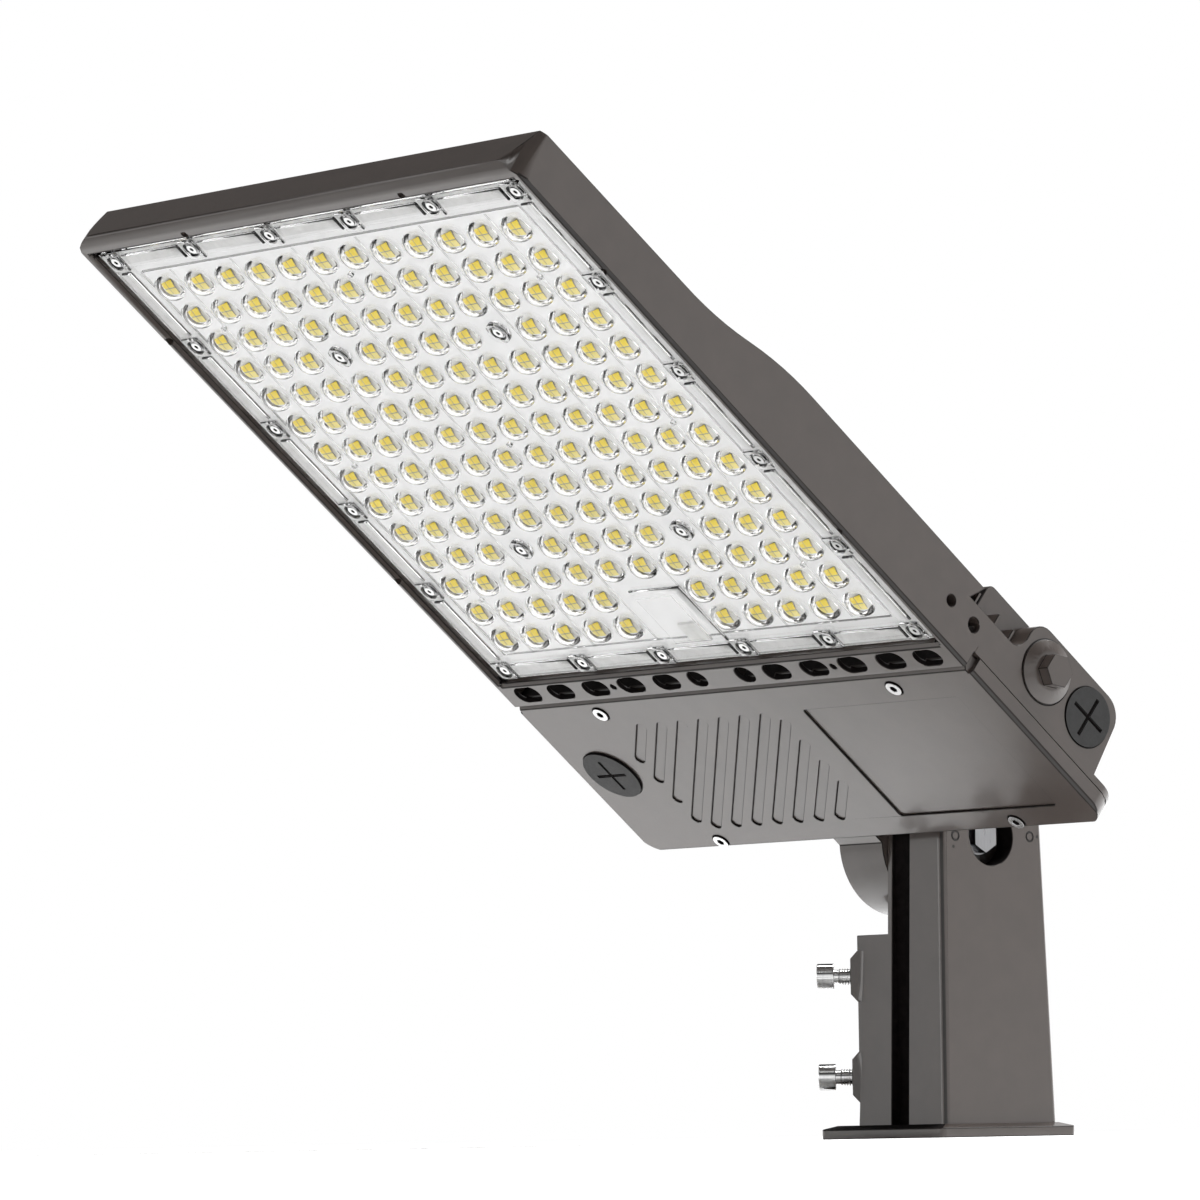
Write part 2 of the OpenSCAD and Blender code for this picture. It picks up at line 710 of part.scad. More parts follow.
        // Posts of the far cover screws
        difference() {
            for (s = [-1, 1]) {
                rod_z(seat_z, comp_back, s * cover_screw_x / 2, far_screw_y, far_post_r);
                bx(s * cover_screw_x / 2 - web_t, s * cover_screw_x / 2 + web_t, comp_far_in, far_screw_y,
                    seat_z, comp_back);
            }
            for (s = [-1, 1])
                rod_z(seat_z - over, post_z, s * cover_screw_x / 2, far_screw_y, cover_shank_r + play / 2);
        }
        // Small webs beside the side bosses
        for (s = [-1, 1]) for (y = [notch_far + notch_lean + web_t, notch_near - notch_r - web_t,
            notch_near + web_t])
            bx(min(s * cx, s * (hx - wall - side_draft)), max(s * cx, s * (hx - wall - side_draft)),
                y - web_t, y, flange_back, min(web_h, notch_z + 4.5 * web_t));
    }
}
vent_plug_x = cx * 0.62;
vent_plug_z = comp_h * 0.62;
vent_plug_r = 6;
kn_places = [for (x = [kn_x0 + kn_inset * 0.75, kn_x1 - kn_inset * 0.75])
    for (z = [kn_z0 + kn_inset * 0.8, kn_z1 - kn_inset * 0.8]) [x, z]];
module lead_ways() {
    for (s = [-1, 1])
        rod_y(conn_near, driver_y, lead_x + s * lead_dx, lead_z, lead_r + play);
}

module knuckle() {
    color(bronze) in_head() {
        difference() {
            union() {
                rod_x(drum_x0, drum_x1, 0, axis_depth, drum_r);
                along_x(drum_x0, drum_x1)
                    polygon([[end_y, kn_z0], [chin_y, kn_z0], [chin_y, chin_z], [-drum_r / 2, chin_z],
                        [-drum_r / 2, kn_z1], [end_y, kn_z1]]);
                bx(kn_x0, kn_x1, end_y, kn_y1, kn_z0, kn_z1);
            }
            rod_x(drum_x0 - over, drum_x1 + over, 0, axis_depth, pivot_r + run_play);
            rod_x(drum_x0 - over, drum_x0 + nut_bore_d, 0, axis_depth, nut_bore_r);
            // Wire way: along the neck and round the hub
            rod_y(end_y - over, -hub_r - over, neck_way_x, axis_depth, neck_way_r);
            difference() {
                rod_x(neck_way_x - neck_way_r - over, drum_x1 + over, 0, axis_depth, ring_way_r);
                rod_x(neck_way_x - neck_way_r - 2 * over, drum_x1 + 2 * over, 0, axis_depth, hub_r);
            }
            for (p = kn_places)
                rod_y(end_y - over, end_y + kn_screw_l - comp_wall, p[0], p[1], kn_screw_r + play / 2);
        }
    }
}
module knuckle_gasket() {
    color(dark) in_head() {
        difference() {
            bx(kn_x0, kn_x1, end_y - kn_gasket_t, end_y, kn_z0, kn_z1);
            rod_y(end_y - over, end_y + over, neck_way_x, axis_depth, neck_way_r + over);
            for (p = kn_places) rod_y(end_y - over, end_y + over, p[0], p[1], kn_screw_r + 2 * play);
        }
    }
}
module knuckle_screws() {
    color(steel) in_head() {
        for (p = kn_places) {
            difference() {
                rod_y(end_in - kn_screw_head_h, end_in, p[0], p[1], kn_screw_head_r);
                rod_y(end_in - kn_screw_head_h - over, end_in - kn_screw_head_h / 2, p[0], p[1],
                    kn_screw_head_r / 2, $fn = 6);
            }
            rod_y(end_in, end_in + kn_screw_l - over, p[0], p[1], kn_screw_r);
        }
    }
}

module lens_plate() {
    color(clear) in_head() {
        difference() {
            union() {
                rbox(-lx, lx, grid_y - ly, grid_y + ly, lens_z, lens_back, pocket_r - lens_gap);
                frame_z(-lx, lx, grid_y - ly, grid_y + ly, lx - board_x - board_gap / 2,
                    lens_back - over, rim_back,
                    pocket_r - lens_gap);
                for (p = optics)
                    translate([p[0], p[1], lens_z - optic_h + optic_ball]) intersection() {
                        sphere(optic_ball);
                        translate([0, 0, -optic_ball]) cylinder(r = optic_r + over, h = optic_h + over);
                    }
                for (p = lens_places)
                    bx(p[0] - lens_boss_w / 2, p[0] + lens_boss_w / 2, grid_y + p[1] - lens_boss_w / 2,
                        grid_y + p[1] + lens_boss_w / 2, boss_front, lens_z + over);
                lens_bars();
                for (p = screw_shares)
                    rod_z(boss_front, board_front, grid(p)[0], grid(p)[1], centre_boss_r);
                for (p = peg_shares) rod_z(lens_z - peg_h, lens_z + over, grid(p)[0], grid(p)[1], peg_r);
                rbox(win_x0, win_x1, grid_y + win_y0, grid_y + win_y1, win_front, lens_z + over, win_r);
            }
            // Screw recesses and holes
            for (p = lens_places) {
                rod_z(boss_front - over, lens_seat, p[0], grid_y + p[1], lens_ring_r);
                rod_z(boss_front, rim_back + over, p[0], grid_y + p[1], lens_shank_r + play);
            }
            for (p = screw_shares) {
                rod_z(boss_front - over, lens_seat, grid(p)[0], grid(p)[1], lens_ring_r);
                rod_z(boss_front, board_front + over, grid(p)[0], grid(p)[1], lens_shank_r + play);
            }
            // Window recess and the room for the connector behind it
            rbox(win_x0 - over * 6, win_in_x1, grid_y + win_in_y0, grid_y + win_y1 - win_r / 2,
                win_front - over,
                win_front + win_deep, win_r / 2);
            bx(lead_x - conn_w / 2 - board_gap, lead_x + conn_w / 2 + board_gap, conn_far - board_gap,
                conn_near + board_gap, conn_front - play, rim_back + over);
        }
    }
}
lens_seat = lens_z + 0.3 * lens_t;
module lens_bars() {
    for (i = [0 : 4]) for (s = [-1, 1]) {
        y0 = grid_y - sy + i * sy_step + lens_boss_w / 2 + bar_w / 4;
        bx(s * sx - bar_w / 2, s * sx + bar_w / 2, y0, y0 + sy_step - lens_boss_w - bar_w / 2,
            lens_z - lens_boss_h / 2, lens_z + over);
        x0 = -sx + i * sx_step + lens_boss_w / 2 + bar_w / 4;
        bx(x0, x0 + sx_step - lens_boss_w - bar_w / 2, grid_y + s * sy - bar_w / 2,
            grid_y + s * sy + bar_w / 2,
            lens_z - lens_boss_h / 2, lens_z + over);
    }
}
module lens_gasket() {
    color(dark) in_head() {
        difference() {
            frame_z(-lx + play, lx - play, grid_y - ly + play, grid_y + ly - play, 2 * gasket_w,
                rim_back, ledge_z,
                pocket_r - lens_gap);
            for (p = lens_places)
                rod_z(rim_back - over, ledge_z + over, p[0], grid_y + p[1], lens_shank_r + 2 * play);
        }
    }
}
module small_screw(x, y, z, l) {
    difference() {
        rod_z(z - lens_head_h, z, x, y, lens_head_r);
        rod_z(z - lens_head_h - over, z - lens_head_h / 3, x, y, lens_head_r / 2.4, $fn = 6);
    }
    rod_z(z, z + l, x, y, lens_shank_r);
}
module lens_screws() {
    color(steel) in_head() {
        for (p = lens_places) small_screw(p[0], grid_y + p[1], lens_seat, lens_shank_l - play);
    }
}
module centre_screws() {
    color(steel) in_head() {
        for (p = screw_shares) small_screw(grid(p)[0], grid(p)[1], lens_seat,
            floor_back - lens_seat - over);
    }
}
module led_board() {
    color("white") in_head() {
        difference() {
            rbox(-board_x, board_x, grid_y - board_y, grid_y + board_y, board_front, board_seat,
                pocket_r / 2);
            for (p = screw_shares)
                rod_z(board_front - over, board_seat + over, grid(p)[0], grid(p)[1],
                    lens_shank_r + 2 * play);
        }
    }
}
module led_packages() {
    color([0.93, 0.80, 0.25]) in_head() {
        for (p = optics)
            bx(p[0] - led_dx - led_w / 2, p[0] - led_dx + led_w / 2, p[1] + led_dy - led_w / 2,
                p[1] + led_dy + led_w / 2, led_front, board_front);
    }
}
module board_connector() {
    color("white") in_head() {
        bx(lead_x - conn_w / 2, lead_x + conn_w / 2, conn_far, conn_near, conn_front, board_front);
        bx(lead_x - conn_w / 2, lead_x + conn_w / 2, tail_far, conn_near, conn_front, tail_back);
    }
}
module output_leads() {
    color([0.75, 0.12, 0.10]) in_head() {
        for (s = [-1, 1]) {
            x = lead_x + s * lead_dx;
            rod_y(conn_near, driver_y, x, lead_z, lead_r);
        }
    }
}
module lead_grommet() {
    color(dark) in_head() {
        difference() {
            rod_y(comp_far_in, comp_far_in + 2 * over, lead_x, lead_z, lead_dx + 3 * lead_r);
            for (s = [-1, 1])
                rod_y(comp_far_in - over, comp_far_in + 3 * over, lead_x + s * lead_dx, lead_z,
                    lead_r + play / 2);
        }
    }
}

// Cover skirt, plate, posts, grooves and panel
module driver_cover() {
    color(bronze_front) in_head() {
        difference() {
            union() {
                intersection() {
                    rbox(-hx, hx, y_far, y_near, 0, skirt_end, head_r);
                    along_y(cover_far, y_near) polygon([[-hx + rim_cham, 0], [-hx, rim_cham], [-hx,
                        skirt_end],
                        [hx, skirt_end], [hx, rim_cham], [hx - rim_cham, 0]]);
                    along_x(-hx, hx) polygon([[cover_far + cover_cham, 0], [cover_far, cover_cham],
                        [cover_far, skirt_end], [y_near, skirt_end], [y_near, rim_cham],
                            [y_near - rim_cham, 0]]);
                }
            }
            difference() {
                rbox(-hx + skirt_t, hx - skirt_t, cover_far + skirt_t, y_near - skirt_t, cover_t,
                    skirt_end + over, head_r - skirt_t);
                for (s = [-1, 1]) {
                    rod_z(cover_t - over, skirt_end + 2 * over, s * cover_screw_x / 2, near_screw_y,
                        far_post_r);
                    rod_z(cover_t - over, skirt_end + 2 * over, s * cover_screw_x / 2, far_screw_y,
                        far_post_r);
                }
            }
            for (s = [-1, 1]) for (y = [near_screw_y, far_screw_y]) {
                rod_z(-over, cover_seat, s * cover_screw_x / 2, y, cover_head_r + 3 * play);
                rod_z(-over, skirt_end + over, s * cover_screw_x / 2, y, cover_shank_r + play);
            }
            // Plug seat
            rod_z(-over, cover_t + over, plug_x, plug_y, stem_r + play);
            rod_z(-over, seat_cut, plug_x, plug_y, plug_r + play);
            // Shallow panel
            rbox(panel_x, panel_x + panel_l, panel_y, panel_y + panel_w, -over, panel_d, groove_w / 3);
            // Slanted grooves
            for (k = [0 : groove_count - 1]) groove(k);
            // Side notch at the far corner
            for (s = [-1, 1])
                bx(min(s * (hx - wall), s * (hx + over)), max(s * (hx - wall), s * (hx + over)),
                    cover_far - over, cover_far + 1.6 * wall, -over, skirt_end + over);
        }
    }
}
seat_cut = 0.6;
cover_seat = 1.6;
plug_x = -hx * 0.842;
plug_y = y_near - cover_l * 0.529;
panel_x = hx * 0.204;
panel_y = cover_far + cover_l * 0.172;
groove_count = 11;
groove_left = plug_x + plug_r + groove_w * 2.45;
groove_top = cover_far + cover_l * 0.196;
groove_low = y_near - cover_l * 0.154;
groove_right = panel_x - groove_w * 3.65;
// Each groove runs at 45 degrees; its ends lie on the left, low, top and right bounds
function g_sum(k) = groove_left + groove_top + groove_first + k * groove_step;
function g_start(k) = [max(groove_left, g_sum(k) - groove_low), min(groove_low, g_sum(k) - groove_left)];
function g_end(k) = [min(groove_right, g_sum(k) - groove_top), max(groove_top, g_sum(k) - groove_right)];
module groove(k) {
    a = g_start(k);
    b = g_end(k);
    l = sqrt((b[0] - a[0]) * (b[0] - a[0]) + (b[1] - a[1]) * (b[1] - a[1]));
    if (b[0] > a[0]) {
        translate([a[0], a[1], 0]) rotate([0, 0, -45])
            stadium(l / 2, 0, l + groove_w, groove_w, -over, groove_d);
    }
}
module cover_gasket() {
    color(dark) in_head() {
        intersection() {
            frame_z(-hx + over, hx - over, cover_far + over, y_near - over, skirt_t - over, skirt_end,
                seat_z,
                head_r - over);
            bx(-hx, hx, cover_far, y_near, skirt_end, seat_z);
        }
    }
}
module cover_screws() {
    color(steel) in_head() {
        for (s = [-1, 1]) for (y = [near_screw_y, far_screw_y]) {
            difference() {
                rod_z(cover_seat - cover_screw_h, cover_seat, s * cover_screw_x / 2, y, cover_head_r);
                rod_z(-2 * cover_screw_h, cover_seat - cover_screw_h / 3, s * cover_screw_x / 2, y,
                    cover_head_r / 2, $fn = 6);
            }
            rod_z(cover_seat, y == near_screw_y ? flange_back + cover_shank_r * 2 : post_z - over,
                s * cover_screw_x / 2, y, cover_shank_r);
        }
    }
}
cover_screw_h = 2.6;
module cross_z(x, y, z0, z1) {
    bx(x - cross_l / 2, x + cross_l / 2, y - cross_w / 2, y + cross_w / 2, z0, z1);
    bx(x - cross_w / 2, x + cross_w / 2, y - cross_l / 2, y + cross_l / 2, z0, z1);
}
seal_h = 0.5;
module sensor_plug() {
    color(dark) in_head() {
        difference() {
            union() {
                rod_z(seat_cut - seal_h - plug_h, seat_cut - seal_h, plug_x, plug_y, plug_r);
                rod_z(seat_cut - seal_h - over / 2, skirt_end, plug_x, plug_y, stem_r);
            }
            cross_z(plug_x, plug_y, seat_cut - seal_h - plug_h - over,
                seat_cut - seal_h - plug_h + cross_d);
        }
    }
}
module sensor_plug_nut() {
    color(dark) in_head() {
        difference() {
            rod_z(cover_t, cover_t + nut_t, plug_x, plug_y, stem_r + nut_t, $fn = 6);
            rod_z(cover_t - over, cover_t + nut_t + over, plug_x, plug_y, stem_r + play / 2);
        }
    }
}
module both_sides() {
    children();
    mirror([1, 0, 0]) children();
}
module side_plugs() {
    color(dark) in_head() both_sides() {
        difference() {
            union() {
                rod_x(plug_seat_x + seal_h, plug_seat_x + seal_h + plug_h, conduit_y, dish_z, side_plug_r);
                rod_x(cx_in - over, plug_seat_x + seal_h + over / 2, conduit_y, dish_z, stem_r);
            }
            translate([plug_seat_x + seal_h + plug_h - cross_d, conduit_y, dish_z]) {
                translate([0, -cross_l / 2, -cross_w / 2]) cube([cross_d + over, cross_l, cross_w]);
                translate([0, -cross_w / 2, -cross_l / 2]) cube([cross_d + over, cross_w, cross_l]);
            }
        }
    }
}
module plug_seals() {
    color(dark) in_head() {
        difference() {
            rod_z(seat_cut - seal_h, seat_cut, plug_x, plug_y, plug_r - over);
            rod_z(-2 * over, 2 * over, plug_x, plug_y, stem_r + play);
        }
        both_sides() ring_x(plug_seat_x, plug_seat_x + seal_h, conduit_y, dish_z, stem_r + play,
            side_plug_r - over);
    }
}
module side_bolts() {
    color(bronze) in_head() both_sides() {
        rod_x(bolt_seat_x, hx, dish_y, dish_z, cone_r);
        translate([hx, dish_y, dish_z]) rotate([0, 90, 0])
            cylinder(r1 = cone_r, r2 = cone_top_r, h = cone_h);
        hex_x(hx + cone_h, hx + cone_h + side_bolt_k, dish_y, dish_z, side_bolt_af);
        rod_x(cx_in - nut_t - over, bolt_seat_x, dish_y, dish_z, side_bolt_r);
    }
}
module side_bolt_nuts() {
    color(steel) in_head() both_sides() difference() {
        hex_x(cx_in - nut_t, cx_in, dish_y, dish_z, side_bolt_af);
        rod_x(cx_in - nut_t - over, cx_in + over, dish_y, dish_z, side_bolt_r + play / 2);
    }
}

// Driver tray items, seated on the back wall of the compartment
driver_ear = 8;
driver_ear_t = 2;
screw_r = 2;
screw_head_r = 3.6;
screw_head_h = 2.4;
driver_hole_x = [driver_x - driver_ear / 2, driver_x + driver_l + driver_ear / 2];
module led_driver() {
    color([0.75, 0.76, 0.76]) in_head() difference() {
        union() {
            bx(driver_x, driver_x + driver_l, driver_y, driver_y + driver_w, comp_back - driver_h,
                comp_back);
            bx(driver_x - driver_ear, driver_x + driver_l + driver_ear, driver_y + driver_w * 0.3,
                driver_y + driver_w * 0.7, comp_back - driver_ear_t, comp_back);
        }
        for (x = driver_hole_x)
            rod_z(comp_back - driver_ear_t - over, comp_back + over, x, driver_y + driver_w / 2,
                screw_r + play);
    }
}
module tray_screw(x, y, z) {
    difference() {
        rod_z(z - screw_head_h, z, x, y, screw_head_r);
        rod_z(z - 2 * screw_head_h, z - screw_head_h / 2, x, y, screw_head_r / 2, $fn = 6);
    }
    rod_z(z, comp_back, x, y, screw_r);
}
module driver_screws() {
    color(steel) in_head()
        for (x = driver_hole_x) tray_screw(x, driver_y + driver_w / 2, comp_back - driver_ear_t);
}
surge_x = -cx_in * 0.71;
surge_y = comp_far_in + surge_w * 0.6;
surge_h = surge_w * 0.8;
clip_t = 1.2;
module surge_protector() {
    color([0.12, 0.12, 0.14]) in_head()
        rbox(surge_x, surge_x + surge_l, surge_y, surge_y + surge_w, comp_back - surge_h, comp_back,
            surge_w / 8);
}
module surge_clip() {
    color(steel) in_head() difference() {
        union() {
            bx(surge_x + surge_l * 0.35, surge_x + surge_l * 0.65, surge_y - clip_t - play,
                surge_y + surge_w + clip_t + play, comp_back - surge_h - clip_t, comp_back);
            bx(surge_x + surge_l * 0.35, surge_x + surge_l * 0.65, surge_y - surge_w / 3,
                surge_y + surge_w + surge_w / 3, comp_back - clip_t, comp_back);
        }
        bx(surge_x, surge_x + surge_l, surge_y - play, surge_y + surge_w + play,
            comp_back - surge_h, comp_back + over);
    }
}
term_x = -cx_in * 0.5;
term_w = term_l * 0.45;
term_h = term_l * 0.4;
term_y = end_in - term_w * 1.6;
module terminal_block() {
    color([0.9, 0.9, 0.88]) in_head() difference() {
        bx(term_x, term_x + term_l, term_y, term_y + term_w, comp_back - term_h, comp_back);
        for (i = [0 : 2])
            rod_z(comp_back - term_h - over, comp_back - term_h / 2, term_x + term_l * (2 * i + 1) / 6,
                term_y + term_w / 2, term_l / 12);
    }
}
module terminal_screws() {
    color(steel) in_head() for (i = [0 : 2])
        rod_z(comp_back - term_h * 0.7, comp_back - term_h / 2, term_x + term_l * (2 * i + 1) / 6,
            term_y + term_w / 2, term_l / 12 - play);
}
module earth_screw() {
    color([0.2, 0.5, 0.25]) in_head()
        tray_screw(term_x + term_l * 1.4, term_y + term_w / 2, comp_back - clip_t);
}
module breather_vent() {
    color(dark) in_head() {
        rod_y(end_in - over, end_y, vent_plug_x, vent_plug_z, vent_plug_r);
        rod_y(end_y, end_y + 2.5 * over, vent_plug_x, vent_plug_z, vent_plug_r + 3 * over);
    }
}

module foot_slab(z, x0, x1, y0, y1) {
    translate([0, 0, z]) linear_extrude(over / 100) rrect(x0, x1, y0, y1, arm_r, $fn = 32);
}
module clamp_frame(z) {
    translate([0, 0, z]) rotate([0, 0, -135]) rotate([0, 90, 0]) children();
}
module clamp_boss(z) {
    rotate([0, 0, -135]) translate([0, boss_w / 2, z]) rotate([90, 0, 0]) linear_extrude(boss_w)
        polygon([[socket_r + over, -boss_foot / 2], [corner_cut, -boss_foot / 2], [boss_reach,
            -boss_face / 2],
            [boss_reach, boss_face / 2], [corner_cut, boss_foot / 2], [socket_r + over, boss_foot / 2]]);
}
module arm_casting() {
    color(bronze) difference() {
        union() {
            difference() {
                intersection() {
                    hull() {
                        foot_slab(0, -arm_w / 2, arm_w / 2, -arm_d / 2, arm_d / 2);
                        foot_slab(arm_top, -arm_w / 2 + arm_top * tan(draft_left),
                            arm_w / 2 - arm_top * tan(draft_right), -arm_d / 2 + arm_top * tan(draft_front),
                            arm_d / 2 - arm_top * tan(draft_back));
                    }
                    union() {
                        bx(-arm_w, arm_w, -arm_w, arm_w, -over, pivot_h);
                        rod_x(-arm_w, arm_w, 0, pivot_h, lug_r, $fn = 96);
                    }
                }
                // Corner chamfer, shoulder cut and front groove
                rotate([0, 0, -135]) bx(corner_cut, 2 * arm_w, -arm_w, arm_w, -over, arm_top + over);
                bx(-arm_w, -lug_x, -arm_w, arm_w, shoulder_z, arm_top + over);
                bx(0, slot_w, -arm_w, -arm_d / 2 + slot_d, plate_t, pivot_h - lug_r * 0.2);
                translate([0, 0, pivot_h - lug_r * 0.2])
                    bx(0, slot_w, -arm_w, -arm_d / 2 + slot_d, 0, lug_r * 2);
            }
            // Base plate with a shallow slope up to the foot
            intersection() {
                rbox(-plate_w / 2, plate_w / 2, -plate_w / 2, plate_w / 2, 0, plate_t + plate_rise,
                    plate_r);
                along_x(-plate_w, plate_w) polygon(plate_slope(arm_d));
                along_y(-plate_w, plate_w) polygon(plate_slope(arm_w));
            }
            clamp_boss(clamp_hi);
            clamp_boss(clamp_lo);
        }
        // Tenon socket and wire way
        rod_z(-over, socket_l, 0, 0, socket_r);
        rod_z(socket_l - over, pivot_h - hub_r - over, way_x, 0, way_r);
        difference() {
            rod_x(-lug_x - over, way_x + way_r + over, 0, pivot_h, ring_way_r);
            rod_x(-lug_x - 2 * over, way_x + way_r + 2 * over, 0, pivot_h, hub_r);
        }
        // Pivot bore, counterbore and seal groove
        rod_x(-lug_x - 2 * over, arm_w, 0, pivot_h, pivot_r + play);
        rod_x(cbore_x, arm_w, 0, pivot_h, cbore_r);
        difference() {
            rod_x(-lug_x - over, -lug_x + seal_d, 0, pivot_h, seal_r + seal_w / 2);
            rod_x(-lug_x - 2 * over, -lug_x + seal_d + over, 0, pivot_h, seal_r - seal_w / 2);
        }
        // Clamp screw bores
        for (z = [clamp_hi, clamp_lo]) clamp_frame(z) cylinder(r = clamp_r + run_play, h = 2 * arm_w);
        // Ring marks beside the counterbore
        for (y = [-lug_r * 0.7, lug_r * 0.77])
            ring_x(lug_right - mark_d, arm_w, y, pivot_h, mark_r - mark_w, mark_r);
    }
}
function plate_slope(w) = [[-plate_w, 0], [-plate_w,
    plate_t - (plate_w / 2) * 2 * plate_rise / (plate_w - w)],
    [-plate_w / 2, plate_t], [-w / 2, plate_t + plate_rise], [w / 2, plate_t + plate_rise],
    [plate_w / 2, plate_t], [plate_w, plate_t - (plate_w / 2) * 2 * plate_rise / (plate_w - w)],
        [plate_w, 0]];
way_x = (lug_right - cbore_d - lug_x) / 2 - way_r / 2;
module clamp_screw(z) {
    color(steel) clamp_frame(z) difference() {
        union() {
            translate([0, 0, boss_reach + clamp_out - clamp_l]) cylinder(r = clamp_r, h = clamp_l);
            translate([0, 0, boss_reach + clamp_out]) cylinder(r = clamp_head_r, h = clamp_head_h);
        }
        translate([0, 0, boss_reach + clamp_out + clamp_head_h / 2])
            cylinder(r = clamp_key / sqrt(3), h = clamp_head_h, $fn = 6);
    }
}
module clamp_screw_upper() {
    clamp_screw(clamp_hi);
}
module clamp_screw_lower() {
    clamp_screw(clamp_lo);
}
// The bolt passes through lug and drum; its nut sits clear of the drum recess floor
nut_floor = drum_x0 + nut_bore_d;
module pivot_bolt() {
    color(steel) {
        hex_x(cbore_x + washer_t, cbore_x + washer_t + pivot_k, 0, pivot_h, pivot_af);
        rod_x(nut_floor - apart - washer_t - pivot_k - over, cbore_x + washer_t, 0, pivot_h, pivot_r);
    }
}
module pivot_washers() {
    color(steel) {
        ring_x(cbore_x, cbore_x + washer_t, 0, pivot_h, pivot_r + play, washer_r);
        ring_x(nut_floor - apart - washer_t, nut_floor - apart, 0, pivot_h, pivot_r + play, washer_r);
    }
}
module pivot_nut() {
    color(steel) difference() {
        hex_x(nut_floor - apart - washer_t - pivot_k, nut_floor - apart - washer_t, 0, pivot_h, pivot_af);
        rod_x(nut_floor - apart - 2 * washer_t - 2 * pivot_k, nut_floor, 0, pivot_h, pivot_r + play / 2);
    }
}
module pivot_seal() {
    color(dark) ring_x(-lug_x - apart / 2, -lug_x + seal_d, 0, pivot_h, seal_r - seal_w / 2 + play,
        seal_r + seal_w / 2 - play);
}

arm_casting();
pivot_bolt();
pivot_washers();
pivot_nut();
pivot_seal();
clamp_screw_upper();
clamp_screw_lower();
housing();
knuckle();
knuckle_gasket();
knuckle_screws();
lens_plate();
lens_gasket();
lens_screws();
centre_screws();
led_board();
led_packages();
board_connector();
output_leads();
lead_grommet();
driver_cover();
cover_gasket();
cover_screws();
sensor_plug();
sensor_plug_nut();
side_plugs();
plug_seals();
side_bolts();
side_bolt_nuts();
led_driver();
driver_screws();
surge_protector();
surge_clip();
terminal_block();
terminal_screws();
earth_screw();
breather_vent();
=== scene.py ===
import json
import math
import bpy
from bpy.props import FloatProperty, FloatVectorProperty, PointerProperty
from mathutils import Matrix, Vector

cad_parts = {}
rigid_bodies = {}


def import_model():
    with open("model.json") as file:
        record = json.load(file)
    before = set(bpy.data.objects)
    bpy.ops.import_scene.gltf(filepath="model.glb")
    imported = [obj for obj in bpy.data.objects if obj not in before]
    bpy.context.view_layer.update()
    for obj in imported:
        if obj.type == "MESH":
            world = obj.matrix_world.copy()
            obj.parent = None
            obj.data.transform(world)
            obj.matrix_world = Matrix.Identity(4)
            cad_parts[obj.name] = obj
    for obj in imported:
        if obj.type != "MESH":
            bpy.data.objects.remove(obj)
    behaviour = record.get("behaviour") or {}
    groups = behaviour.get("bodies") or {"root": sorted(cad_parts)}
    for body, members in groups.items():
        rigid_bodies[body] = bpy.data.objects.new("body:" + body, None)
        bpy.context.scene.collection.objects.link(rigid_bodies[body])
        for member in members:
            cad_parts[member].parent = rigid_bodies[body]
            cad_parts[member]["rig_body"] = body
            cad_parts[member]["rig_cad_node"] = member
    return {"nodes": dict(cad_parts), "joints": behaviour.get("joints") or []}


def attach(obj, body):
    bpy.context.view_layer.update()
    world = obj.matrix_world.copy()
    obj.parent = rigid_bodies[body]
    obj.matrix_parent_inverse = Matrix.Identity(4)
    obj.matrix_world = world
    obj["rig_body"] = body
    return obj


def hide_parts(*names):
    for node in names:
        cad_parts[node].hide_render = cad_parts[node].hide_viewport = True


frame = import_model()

bl_info = {
    "name": "Shoebox area light",
    "version": (1, 0, 0),
    "blender": (4, 5, 0),
    "location": "View3D > Sidebar > Area light",
    "description": "Dresses the area light's frame with paint, clear optics, chips, screws and plugs",
    "category": "Object",
}

# Sizes and places are in millimetres, except on the stage, where they are in metres
MM = 0.001
TO_MM = 1000
INF = math.inf
TILT = next(j for j in frame["joints"] if j["name"] == "head_tilt")
PIVOT = Vector(TILT["pos_m"])
PIVOT_Z = 172.5
REST_ANGLE = math.radians(-TILT["range_deg"][0])
AXIS_DEPTH = 34.4
# The head's own frame: x across, y towards the arm, z from the front plane to the back
HEAD = (Matrix.Translation(PIVOT) @ Matrix.Rotation(-REST_ANGLE, 4, "X")
        @ Matrix.Translation((0, 0, -AXIS_DEPTH * MM)))
TO_HEAD = HEAD.inverted()
HEAD_BACK = HEAD.col[2].to_3d()

# Optic grid, and its places in columns and rows
COLUMNS, ROWS = 12, 14
PITCH_X, PITCH_Y = 28.0, 23.4
GRID_Y = -382.2
CENTRE_SCREWS = [(3, 3), (8, 3), (3, 10), (8, 10)]
BLANK = {*CENTRE_SCREWS, (5, 12), (6, 12), (5, 13), (6, 13)}
PEGS = [(5.5, 0.5), (0.5, 1.5), (10.5, 1.5), (0.5, 6.5), (5.5, 6.5), (10.5, 6.5), (10.5, 11.5), (0.5, 11.5)]
SEAMS = [0.5, 2.5, 4.5, 6.5, 8.5, 10.5]

# Optic plate and board: half sizes, and faces by their depth
LENS_X, LENS_Y = 187.3, 184.3
LENS_FRONT, LENS_BACK, RIM_BACK = 3.2, 5.2, 6.2
BOARD_X, BOARD_Y = 168.0, 165.47
BOARD_FRONT, BOARD_PLAY = 6.4, 0.3
# How far a joined piece goes into the plate, and how far a cut reaches beyond it
SINK, DEEP_SINK = 0.5, 0.6
BEYOND = 10
# Edge screws: half the distance between the rows, and the steps in one half
SCREW_X, SCREW_Y = 177.8, 177.05
HALF_STEPS = 2.5
BOSS_FRONT, BOSS_W, BOSS_EDGE = 1.6, 14.5, 1.2
# Screw recesses and holes, and the posts of the centre screws
RING_R, SHANK_R = 5.35, 2.25
POST_R, POST_EDGE = 7.4, 0.8
